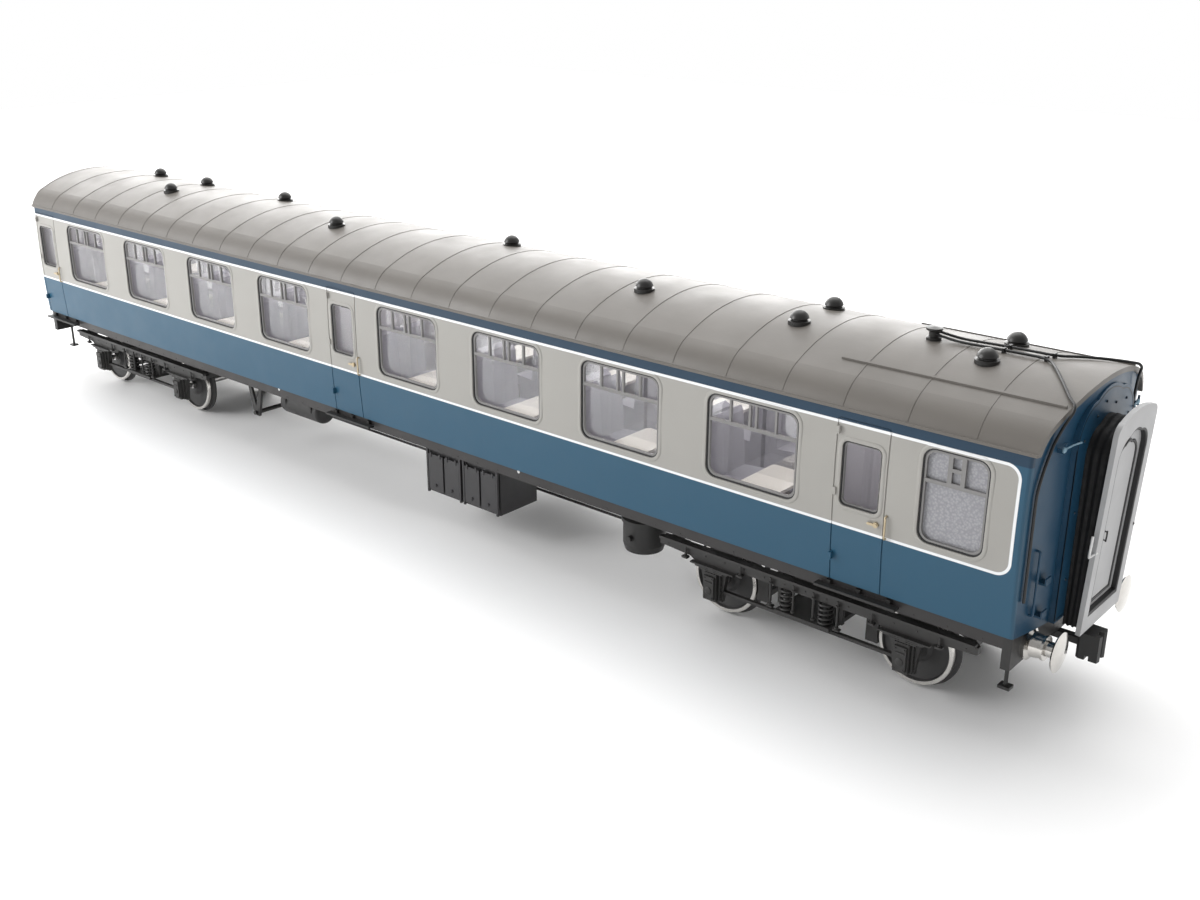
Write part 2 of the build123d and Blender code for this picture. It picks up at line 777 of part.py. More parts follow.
with BuildPart() as battery_boxes:
    for side in (1, -1):
        for low_x, high_x in ((18.5, 34.8), (35.6, 51.6)):
            middle = (low_x + high_x) / 2
            with Locations((middle, side * 18.0, 9.5)):
                Box(high_x - low_x, 16.6, 15.4, align=(Align.CENTER, Align.CENTER, Align.MIN))
            # Raised door and its two catches
            with Locations((middle, side * 26.45, 15.6)):
                Box(high_x - low_x - 2.4, 0.5, 9.6)
            with Locations((middle - 3.0, side * 26.8, 21.0), (middle + 3.0, side * 26.8, 21.0)):
                Box(0.7, 0.7, 1.8)
            with Locations((middle - 4.5, side * 24.0, 24.9), (middle + 4.5, side * 24.0, 24.9)):
                Box(1.4, 3.0, 0.9, align=(Align.CENTER, Align.CENTER, Align.MIN))
    add(chassis_plate.part, mode=Mode.SUBTRACT)
battery_boxes.part.label = "battery_boxes"
export_step(battery_boxes.part, "parts/battery_boxes.step")

# Vacuum brake cylinders, upright, one ahead of each bogie
with BuildPart() as one_cylinder:
    with BuildSketch(Plane.XZ):
        with BuildLine():
            Polyline(
                (0, 10.4), (3.6, 10.4), (5.8, 11.4), (6.4, 13.4), (6.4, 20.4), (6.9, 20.4), (6.9, 21.6),
                (5.6, 22.4), (3.0, 22.8), (3.0, chassis_bottom), (0, chassis_bottom), (0, 10.4),
            )
        make_face()
    revolve(axis=Axis.Z)
cylinder_places = [(102.6, -17.0, 0), (-102.6, 17.0, 0)]
with BuildPart() as vacuum_cylinders:
    with Locations(cylinder_places):
        add(one_cylinder.part)
    for x, y, _ in cylinder_places:
        with Locations((x, y, 16.4)):
            Cylinder(0.9, 15.4, rotation=(90, 0, 0))
    add(chassis_plate.part, mode=Mode.SUBTRACT)
vacuum_cylinders.part.label = "vacuum_cylinders"
export_step(vacuum_cylinders.part, "parts/vacuum_cylinders.step")

# Brake shaft on V-shaped hangers, with pull rods towards both bogies
shaft_x = -80.5
shaft_z = 13.3
with BuildPart() as brake_rigging:
    for y in (24.0, 9.4, -9.4, -24.0):
        with BuildSketch(Plane.XZ.offset(-y - 0.5)):
            with BuildLine():
                Polyline(
                    (shaft_x - 5.2, chassis_bottom), (shaft_x - 3.9, chassis_bottom),
                    (shaft_x, shaft_z + 2.4), (shaft_x + 3.9, chassis_bottom),
                    (shaft_x + 5.2, chassis_bottom), (shaft_x + 1.5, shaft_z - 1.2),
                    (shaft_x - 1.5, shaft_z - 1.2), (shaft_x - 5.2, chassis_bottom),
                )
            make_face()
        extrude(amount=1.0)
    with Locations((shaft_x, 0, shaft_z)):
        Cylinder(0.8, 51.0, rotation=(90, 0, 0))
    with Locations((shaft_x, 3.5, shaft_z)):
        Box(1.6, 1.2, 7.0)
    with Locations((shaft_x, -3.5, shaft_z)):
        Box(1.6, 1.2, 7.0)
    for y, z in ((3.5, shaft_z + 3.0), (-3.5, shaft_z - 3.0)):
        reach = 28.0 if y > 0 else 190.0
        way = -1 if y > 0 else 1
        with Locations((shaft_x + way * reach / 2, y, z)):
            Cylinder(0.45, reach, rotation=(0, 90, 0))
brake_rigging.part.label = "brake_rigging"
export_step(brake_rigging.part, "parts/brake_rigging.step")

# Vacuum reservoirs lying along the frame
with BuildPart() as reservoirs:
    for x, y in ((-55.0, 19.5), (-55.0, -19.5)):
        with Locations((x, y, 20.6)):
            Cylinder(4.6, 22.0, rotation=(0, 90, 0))
        for dx in (-7.5, 7.5):
            with Locations((x + dx, y, 20.6)):
                Box(1.2, 9.6, chassis_bottom - 20.6, align=(Align.CENTER, Align.CENTER, Align.MIN))
    fillet(reservoirs.edges().filter_by(GeomType.CIRCLE).filter_by(lambda e: abs(e.radius - 4.6) < 0.01
           and (abs(e.center().X + 44.0) < 0.1 or abs(e.center().X + 66.0) < 0.1)), radius=1.2)
    add(chassis_plate.part, mode=Mode.SUBTRACT)
reservoirs.part.label = "reservoirs"
export_step(reservoirs.part, "parts/reservoirs.step")

# Pipe hangers with a footstep at the four corners
with BuildPart() as corner_steps:
    for side in (1, -1):
        for y in (23.0, -23.0):
            with Locations((side * 219.0, y, 13.2)):
                Cylinder(0.5, chassis_bottom - 13.2, align=(Align.CENTER, Align.CENTER, Align.MIN))
            with Locations((side * 219.0, y, 12.8)):
                Box(3.0, 2.6, 0.8)
corner_steps.part.label = "corner_steps"
export_step(corner_steps.part, "parts/corner_steps.step")

# ---------------------------------------------------------------------- buffers
housing_front = 226.6
bore_floor = 222.4
with BuildPart() as one_housing:
    with BuildSketch(Plane.XY):
        with BuildLine():
            Polyline(
                (headstock_face, 0), (headstock_face, 4.2), (headstock_face + 0.8, 4.2),
                (headstock_face + 1.4, 3.2), (housing_front - 0.6, 2.8), (housing_front - 0.6, 3.1),
                (housing_front, 3.1), (housing_front, buffer_shank_radius + running_clearance),
                (bore_floor, buffer_shank_radius + running_clearance), (bore_floor, 0), (headstock_face, 0),
            )
        make_face()
    revolve(axis=Axis.X)
with BuildPart() as buffer_housings:
    with Locations((0, buffer_y, buffer_z), (0, -buffer_y, buffer_z)):
        add(one_housing.part)
    mirror(about=Plane.YZ)
buffer_housings.part.label = "buffer_housings"
export_step(buffer_housings.part, "parts/buffer_housings.step")

buffer_rim = buffer_front - 0.6
with BuildPart() as one_ram:
    with BuildSketch(Plane.XY):
        with BuildLine():
            Polyline(
                (buffer_tail, 0), (buffer_tail, buffer_shank_radius), (228.6, buffer_shank_radius),
                (buffer_rim - 0.4, buffer_head_radius - 0.3), (buffer_rim, buffer_head_radius),
            )
            ThreePointArc(
                (buffer_rim, buffer_head_radius),
                (buffer_rim + dome(buffer_head_radius, buffer_front - buffer_rim, 0.5), buffer_head_radius / 2),
                (buffer_front, 0),
            )
            Line((buffer_front, 0), (buffer_tail, 0))
        make_face()
    revolve(axis=Axis.X)
for end, side in ends:
    for hand, y in (("left", buffer_y), ("right", -buffer_y)):
        with BuildPart() as buffer_ram:
            with Locations((0, side * y, buffer_z)):
                add(one_ram.part)
            if side < 0:
                mirror(about=Plane.YZ, mode=Mode.REPLACE)
        name = f"buffer_{end}_{hand}"
        buffer_ram.part.label = name
        export_step(buffer_ram.part, f"parts/{name}.step")

# Coil springs behind the rams
with BuildPart() as one_spring:
    coils = 3
    coil_pitch = (buffer_tail - bore_floor) / coils
    with BuildSketch(Plane.XY):
        with BuildLine():
            Line((bore_floor, 1.0), (buffer_tail, 1.0))
            for i in range(coils):
                start = bore_floor + i * coil_pitch
                ThreePointArc(
                    (start, 1.2), (start + coil_pitch / 2, 1.5), (start + coil_pitch, 1.2)
                )
            Line((bore_floor, 1.0), (bore_floor, 1.2))
            Line((buffer_tail, 1.0), (buffer_tail, 1.2))
        make_face()
    revolve(axis=Axis.X)
with BuildPart() as buffer_springs:
    with Locations((0, buffer_y, buffer_z), (0, -buffer_y, buffer_z)):
        add(one_spring.part)
    mirror(about=Plane.YZ)
buffer_springs.part.label = "buffer_springs"
export_step(buffer_springs.part, "parts/buffer_springs.step")

# --------------------------------------------------------------------- couplers
with BuildPart() as coupler:
    with BuildSketch(Plane.XY.offset(coupler_z - 0.9)):
        with Locations((coupler_pivot_x, 0)):
            Circle(1.7)
        with Locations(((coupler_pivot_x + 228.0) / 2, 0)):
            Rectangle(228.0 - coupler_pivot_x, 2.4)
    extrude(amount=1.8)
    with BuildSketch(Plane.XY.offset(15.4)):
        with BuildLine():
            Polyline(
                (227.4, -2.6), (228.2, -3.2), (232.8, -3.0), (233.0, -1.6), (231.6, -1.3), (231.4, 0.2),
                (232.6, 0.6), (233.0, 1.4), (232.4, 3.1), (228.6, 3.2), (227.4, 2.2), (227.4, -2.6),
            )
        make_face()
    extrude(amount=7.0)
    # Slot under the head and the hole for the pivot pin
    with Locations((230.2, 0, 15.4)):
        Box(1.0, 8.0, 1.2, align=(Align.CENTER, Align.CENTER, Align.MIN), mode=Mode.SUBTRACT)
    with Locations((coupler_pivot_x, 0, coupler_z)):
        Cylinder(pin_radius + running_clearance, 4, mode=Mode.SUBTRACT)
coupler.part.label = "coupler_front"
export_step(coupler.part, "parts/coupler_front.step")
with BuildPart() as coupler_rear:
    add(coupler.part, rotation=(0, 0, 180))
coupler_rear.part.label = "coupler_rear"
export_step(coupler_rear.part, "parts/coupler_rear.step")

# --------------------------------------------------------------------- gangways
face_plane = Plane(
    origin=(plate_bottom_x, 0, plate_bottom_z), x_dir=(0, 1, 0),
    z_dir=(cos(plate_lean), 0, -sin(plate_lean)),
)
with BuildPart() as faceplate:
    with BuildSketch(face_plane):
        with BuildLine():
            arch_outline(plate_half_width, 0, plate_height, 3.0)
        make_face()
    extrude(amount=-plate_thickness)
    # Lining behind the plate, around the doorway
    with BuildSketch(face_plane.offset(-plate_thickness)):
        with BuildLine():
            arch_outline(
                doorway_half_width + lining_width, doorway_sill - lining_width,
                doorway_sill + doorway_height + lining_width, doorway_corner + lining_width,
            )
        make_face()
    extrude(amount=-lining_depth)
    with BuildSketch(face_plane):
        with BuildLine():
            arch_outline(doorway_half_width, doorway_sill, doorway_sill + doorway_height, doorway_corner)
        make_face()
    extrude(amount=-plate_thickness - lining_depth, mode=Mode.SUBTRACT)
with BuildPart() as gangway_door:
    with BuildSketch(face_plane.offset(-door_recess)):
        with BuildLine():
            arch_outline(
                doorway_half_width - fit_gap, doorway_sill + fit_gap,
                doorway_sill + doorway_height - fit_gap, doorway_corner,
            )
        make_face()
    extrude(amount=-door_thickness)
    # Sunk panel with a round-topped border
    with BuildSketch(face_plane.offset(-door_recess)):
        with BuildLine():
            arch_outline(doorway_half_width - 2.3, doorway_sill + 1.0, doorway_sill + doorway_height - 3.0, 4.2)
        make_face()
    extrude(amount=-door_pocket, mode=Mode.SUBTRACT)
with BuildPart() as bellows:
    depth = 9.0
    pleat = (depth - 0.4) / bellows_pleats / 2
    for i in range(2 * bellows_pleats + 1):
        grow = 0.0 if i % 2 else 0.6
        with BuildSketch(Plane.YZ.offset(end_panel_face + i * pleat)):
            with BuildLine():
                arch_outline(bellows_half_width + grow - 0.6, 27.4 - grow, bellows_top + grow - 0.6, 5.0)
            make_face()
            with BuildLine():
                arch_outline(bellows_half_width - 2.2, 29.0, bellows_top - 2.2, 4.2)
            make_face(mode=Mode.SUBTRACT)
        extrude(amount=pleat)
    split(bisect_by=face_plane.offset(-plate_thickness - lining_depth), keep=Keep.BOTTOM)
for end, side in ends:
    for piece, label in ((faceplate, "faceplate"), (gangway_door, "gangway_door"), (bellows, "bellows")):
        with BuildPart() as placed:
            add(piece.part)
            if side < 0:
                mirror(about=Plane.YZ, mode=Mode.REPLACE)
        placed.part.label = f"{label}_{end}"
        export_step(placed.part, f"parts/{label}_{end}.step")

# ------------------------------------------------------------------------ bogies
frame_inner = 22.2
frame_outer = 23.8
frame_top = 21.4
box_width = 4.2
box_height = 8.4
tie_bar_end = half_wheelbase - 2.4


def pedestal(way):
    """Outline of one half of a bogie side frame, with its horn guides."""
    axle = half_wheelbase
    return [
        (0, frame_top), (way * 47.6, frame_top), (way * 48.8, frame_top - 1.0), (way * 48.8, 18.6),
        (way * (axle + 8.4), 18.0), (way * (axle + 4.2), 15.6), (way * (axle + 3.0), 7.0),
        (way * (axle + 1.8), 7.0), (way * (axle + 1.8), 16.8), (way * (axle - 1.8), 16.8),
        (way * (axle - 1.8), 7.0), (way * (axle - 3.0), 7.0), (way * (axle - 4.2), 15.6),
        (way * (axle - 8.4), 18.0), (0, 18.0), (0, frame_top),
    ]


with BuildPart() as sideframes:
    for side in (1, -1):
        for way in (1, -1):
            with BuildSketch(Plane.XZ.offset(-side * frame_inner)):
                with BuildLine():
                    Polyline(*pedestal(way))
                make_face()
            extrude(amount=-side * (frame_outer - frame_inner))
            # Top flange, axlebox and its cover, and half of the low tie bar
            with Locations((way * 24.2, side * 24.1, frame_top - 0.4)):
                Box(48.4, 1.6, 0.8)
            with Locations((way * half_wheelbase, side * 23.9, axle_z)):
                Box(box_width, 3.4, box_height)
            with Locations((way * half_wheelbase, side * 25.9, axle_z)):
                Box(box_width - 0.8, 0.8, 6.8)
            with Locations((way * tie_bar_end / 2, side * 23.0, 10.0)):
                Box(tie_bar_end, 1.2, 0.9)
        # Journal holes
        for way in (1, -1):
            with BuildSketch(Plane.XZ.offset(-side * (frame_inner - 1.0))):
                with Locations((way * half_wheelbase, axle_z)):
                    Circle(journal_radius + running_clearance)
            extrude(amount=-side * (journal_end + 0.3 - frame_inner + 1.0), mode=Mode.SUBTRACT)

with BuildPart() as bogie_frame:
    # Bolster with its pivot pad, the two transoms and the end bars
    with Locations((0, 0, 18.4)):
        Box(9.0, 2 * frame_inner, 4.0, align=(Align.CENTER, Align.CENTER, Align.MIN))
    with Locations((0, 0, 15.0)):
        Cylinder(5.4, bolster_top - 15.0, align=(Align.CENTER, Align.CENTER, Align.MIN))
    for way in (1, -1):
        with Locations((way * 9.6, 0, 17.0)):
            Box(1.8, 2 * frame_inner, 4.0, align=(Align.CENTER, Align.CENTER, Align.MIN))
        with Locations((way * 6.8, 0, 18.6)):
            Box(5.0, 12.0, 2.0, align=(Align.CENTER, Align.CENTER, Align.MIN))
        with Locations((way * 46.0, 0, 18.6)):
            Box(1.8, 2 * frame_inner, 2.2, align=(Align.CENTER, Align.CENTER, Align.MIN))
    # Spring plank hung below the bolster, and its swing links
    with Locations((0, 0, 10.6)):
        Box(17.0, 50.4, 1.2, align=(Align.CENTER, Align.CENTER, Align.MIN))
    for way in (1, -1):
        for side in (1, -1):
            with Locations((way * 9.6, side * 20.6, 11.8)):
                Box(1.0, 1.2, 5.2, align=(Align.CENTER, Align.CENTER, Align.MIN))
    with Locations((0, 0, 20)):
        Cylinder(pivot_radius + running_clearance, 30, mode=Mode.SUBTRACT)

# Coil springs between plank and side frame, and a leaf spring over each axlebox
with BuildPart() as one_coil:
    coil_low = 11.8
    coil_high = 18.0
    turns = 5
    step = (coil_high - coil_low) / turns
    with BuildSketch(Plane.XZ):
        with BuildLine():
            Line((0, coil_low), (1.5, coil_low))
            for i in range(turns):
                foot = coil_low + i * step
                ThreePointArc((1.5, foot), (2.05, foot + step / 2), (1.5, foot + step))
            Line((1.5, coil_high), (0, coil_high))
            Line((0, coil_high), (0, coil_low))
        make_face()
    revolve(axis=Axis.Z)
leaf_count = 3
leaf_thickness = 0.5
with BuildPart() as bogie_springs:
    with Locations([(dx, y, 0) for dx in (-6.0, 6.0) for y in (23.0, -23.0)]):
        add(one_coil.part)
    for side in (1, -1):
        for way in (1, -1):
            for i in range(leaf_count):
                half = 2.9 + 2.2 * i
                level = axle_z + box_height / 2 + leaf_thickness * i
                with Locations((way * half_wheelbase, side * 24.6, level)):
                    Box(2 * half, 1.6, leaf_thickness, align=(Align.CENTER, Align.CENTER, Align.MIN))

# Brake blocks, hangers and beams on the inner side of each wheelset
block_inner = tread_radius + 0.5
with BuildPart() as bogie_brakes:
    for way in (1, -1):
        centre = way * half_wheelbase
        hang = way * (half_wheelbase - block_inner - 1.6)
        for side in (1, -1):
            with BuildSketch(Plane.XZ.offset(-side * 15.9)):
                with Locations((hang, axle_z)):
                    Rectangle(3.6, 6.4)
                with Locations((centre, axle_z)):
                    Circle(block_inner, mode=Mode.SUBTRACT)
            extrude(amount=-side * 2.0)
            with Locations((hang - way * 0.6, side * 16.9, axle_z)):
                Box(1.0, 1.4, 8.6, align=(Align.CENTER, Align.CENTER, Align.MIN))
        with Locations((hang - way * 1.2, 0, axle_z - 0.6)):
            Box(1.4, 35.0, 1.6)
        # Brackets that join the hangers to the transom
        for side in (1, -1):
            with Locations((way * 13.65, side * 16.9, 19.6)):
                Box(6.3, 1.4, 1.0)

bogie_parts = (
    (bogie_frame, "bogie_frame"), (sideframes, "bogie_sideframes"),
    (bogie_springs, "bogie_springs"), (bogie_brakes, "bogie_brakes"),
)
for end, side in ends:
    for piece, label in bogie_parts:
        with BuildPart() as placed:
            with Locations((side * half_centres, 0, 0)):
                add(piece.part)
        placed.part.label = f"{label}_{end}"
        export_step(placed.part, f"parts/{label}_{end}.step")

# Pivot studs that hold the bogies to the chassis
with BuildPart() as bogie_pivots:
    with Locations((half_centres, 0, 0), (-half_centres, 0, 0)):
        with Locations((0, 0, 13.6)):
            Cylinder(pivot_radius, boss_bottom - 13.6, align=(Align.CENTER, Align.CENTER, Align.MIN))
        with Locations((0, 0, 14.6)):
            Cylinder(3.4, 1.0, align=(Align.CENTER, Align.CENTER, Align.MAX))
    for side in (1, -1):
        with Locations((side * half_centres, 0, 13.6)):
            Box(0.7, 8, 0.5, align=(Align.CENTER, Align.CENTER, Align.MIN), mode=Mode.SUBTRACT)
bogie_pivots.part.label = "bogie_pivots"
export_step(bogie_pivots.part, "parts/bogie_pivots.step")

# --------------------------------------------------------------------- wheelsets
with BuildPart() as one_wheel:
    with BuildSketch(Plane.YZ):
        with BuildLine():
            Polyline(
                (wheel_back, axle_radius), (wheel_back, flange_radius - 0.5),
                (wheel_back + 0.25, flange_radius), (wheel_back + 0.65, flange_radius),
                (wheel_back + flange_width, tread_radius + 0.25), (wheel_back + 1.2, tread_radius),
                (wheel_face - 0.2, tread_radius), (wheel_face, tread_radius - 0.2),
                (wheel_face, tread_radius - 1.2), (wheel_face - 0.7, tread_radius - 1.5),
                (wheel_face - 1.1, 4.4), (wheel_face - 0.2, 3.4), (wheel_face - 0.2, axle_radius),
                (wheel_back, axle_radius),
            )
        make_face()
    revolve(axis=Axis.Y)
with BuildPart() as one_axle:
    with BuildSketch(Plane.YZ):
        with BuildLine():
            Polyline(
                (-journal_end, 0), (-journal_end + 0.4, journal_radius), (-19.0, journal_radius),
                (-19.0, axle_radius), (19.0, axle_radius), (19.0, journal_radius),
                (journal_end - 0.4, journal_radius), (journal_end, 0), (-journal_end, 0),
            )
        make_face()
    revolve(axis=Axis.Y)
for end, side in ends:
    for place, way in (("outer", 1), ("inner", -1)):
        x = side * (half_centres + way * half_wheelbase)
        with BuildPart() as wheels:
            with Locations((x, 0, axle_z)):
                add(one_wheel.part)
                add(one_wheel.part, rotation=(0, 0, 180))
        wheels.part.label = f"wheels_{end}_{place}"
        export_step(wheels.part, f"parts/wheels_{end}_{place}.step")
        with BuildPart() as axle:
            with Locations((x, 0, axle_z)):
                add(one_axle.part)
        axle.part.label = f"axle_{end}_{place}"
        export_step(axle.part, f"parts/axle_{end}_{place}.step")
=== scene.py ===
import json
import math

import bmesh
import bpy
from mathutils import Matrix, Vector


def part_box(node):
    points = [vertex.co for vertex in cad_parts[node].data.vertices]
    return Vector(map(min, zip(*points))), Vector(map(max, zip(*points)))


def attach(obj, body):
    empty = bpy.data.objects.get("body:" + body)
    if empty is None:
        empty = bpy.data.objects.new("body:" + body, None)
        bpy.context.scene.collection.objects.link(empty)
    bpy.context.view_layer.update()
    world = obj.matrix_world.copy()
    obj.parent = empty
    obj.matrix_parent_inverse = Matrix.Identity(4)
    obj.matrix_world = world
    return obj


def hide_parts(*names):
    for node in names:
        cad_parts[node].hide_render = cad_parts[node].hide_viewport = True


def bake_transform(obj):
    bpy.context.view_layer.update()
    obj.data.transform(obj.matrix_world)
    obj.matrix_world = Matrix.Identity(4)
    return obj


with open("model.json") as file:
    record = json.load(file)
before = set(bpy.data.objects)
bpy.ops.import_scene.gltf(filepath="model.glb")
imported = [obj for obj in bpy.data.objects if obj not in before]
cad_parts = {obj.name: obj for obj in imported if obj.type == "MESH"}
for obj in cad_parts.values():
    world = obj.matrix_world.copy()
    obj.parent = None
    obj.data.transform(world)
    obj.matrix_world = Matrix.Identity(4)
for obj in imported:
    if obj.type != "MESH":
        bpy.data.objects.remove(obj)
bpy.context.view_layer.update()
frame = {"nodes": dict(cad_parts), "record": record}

# Model passenger coach, 7 mm to the foot. Lengths below are in millimetres of the CAD frame and
# become metres when a mesh is written; +X runs towards the lavatory end, -Y is the near side.
MM = 0.001
NODES = frame["nodes"]
ENDS = (("front", 1), ("rear", -1))


def low(node):
    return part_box(node)[0] / MM


def high(node):
    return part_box(node)[1] / MM


# ------------------------------------------------------------------ sizes read from the frame
RAIL_TOP = 1.0
AXLE_Z = (low("axle_front_outer").z + high("axle_front_outer").z) / 2
OUTER_X = (low("axle_front_outer").x + high("axle_front_outer").x) / 2
INNER_X = (low("axle_front_inner").x + high("axle_front_inner").x) / 2
PIVOT_X = (OUTER_X + INNER_X) / 2
HALF_WHEELBASE = (OUTER_X - INNER_X) / 2
WHEEL_FACE = high("wheels_front_outer").y
TREAD_RADIUS = AXLE_Z - RAIL_TOP
PANEL_FACE = high("body_shell").x
PANEL_X = low("bellows_front").x
BODY_FOOT = low("body_shell").z

# --------------------------------------------------------------------- sizes of the new pieces
# Livery: the light band, between white lines, ends short of the lavatory end and runs past
# the far end of the body
BAND_LOW = 45.2
BAND_HIGH = 72.0
BAND_START = -260.0
BAND_END = 219.9
BAND_CORNER = 3.4
LINE_HALF = 0.36
SIDE_EDGE_Y = 29.9
FAR_EDGE_X = -222.05
LINING_Y = 29.46
LINING_X = 219.7

# Curve of the body sides: an arc through foot, waist and cantrail
SIDE_WAIST = 31.52
SIDE_BULGE_Z = 56.56
SIDE_RADIUS = 327.6

# Window trim: (inset, height above the side) round the section of each moulding
WINDOW_CORNER = 3.0
NARROW_CORNER = 1.6
NARROW_WIDTH = 12
RIM_SECTION = ((-0.06, -0.30), (-0.06, 0.11), (-0.16, 0.16), (-0.92, 0.16), (-1.12, 0.05), (-1.16, -0.05))
GASKET_SECTION = ((-0.02, 0.00), (-0.02, 0.22), (0.10, 0.30), (0.30, 0.24), (0.36, 0.00))

# Gangway doorway and door: sections are (inset or growth, depth behind the face of the plate),
# the section of the jamb has the rise of its sill between them
DOORWAY_HALF = 9.0
DOORWAY_SILL = 4.0
DOORWAY_TOP = 50.0
DOORWAY_CORNER = 5.5
JAMB_SECTION = ((0.02, 0.0, 0.06), (0.02, 0.0, 1.28), (0.75, 0.2, 1.28), (0.62, 0.2, 0.20),
                (0.42, 0.1, 0.06))
LEAF_EDGE = ((0.05, 2.08), (0.05, 1.36), (0.12, 1.30))
LEAF_PANEL = ((0.65, 1.30), (0.60, 1.36), (0.55, 1.75), (-0.25, 1.75), (-0.30, 1.42), (-0.37, 1.36))
SEAL_SECTION = ((0.54, 1.70), (0.52, 1.20), (0.35, 1.08), (0.0, 1.10), (-0.22, 1.22), (-0.24, 1.70))
HANDLE_ACROSS = -4.3
BRACKET_ACROSS = 12.0

# Bellows cover: outline on the end panel and on the plate, with its folds
COVER_HALF = 11.1
COVER_CORNER = 6.6
COVER_ON_PANEL = (27.2, 77.9)
COVER_ON_PLATE = (1.2, 51.9)
COVER_BACK = 1.22
COVER_THICKNESS = 0.42
FOLDS = 3
FOLD_DEPTH = 0.13

# End of the coach: (half width, rise above the foot of the body, top, corner) of the seam's edges,
# and (across, up) of the studs
SEAM_OUTER = (16.5, 0.6, 84.2, 9.0)
SEAM_INNER = (16.2, 0.9, 83.9, 8.7)
STUDS = ((4.0, 79.6), (-7.0, 79.0), (10.6, 79.0), (-2.2, 81.4), (13.2, 74.6), (-13.2, 74.6),
         (13.2, 40.0), (-13.2, 40.0), (13.2, 57.0), (-13.2, 57.0))

# Bogies
COIL_TURNS = 5.5
COIL_WIRE = 0.36
LEAVES = 3
FRAME_FACE = 23.8
LINK_Y = 24.6
HANGER_Y = FRAME_FACE + 0.75
FLANGE_RIVETS = 15

# Underframe
BOX_DOORS = 2
SOLEBAR_MARKS_X = (-58.0, 62.8)
SOLEBAR_MARK_Z = 28.6
SOLEBAR_RIVET_Z = 26.7
SOLEBAR_RIVETS = 49


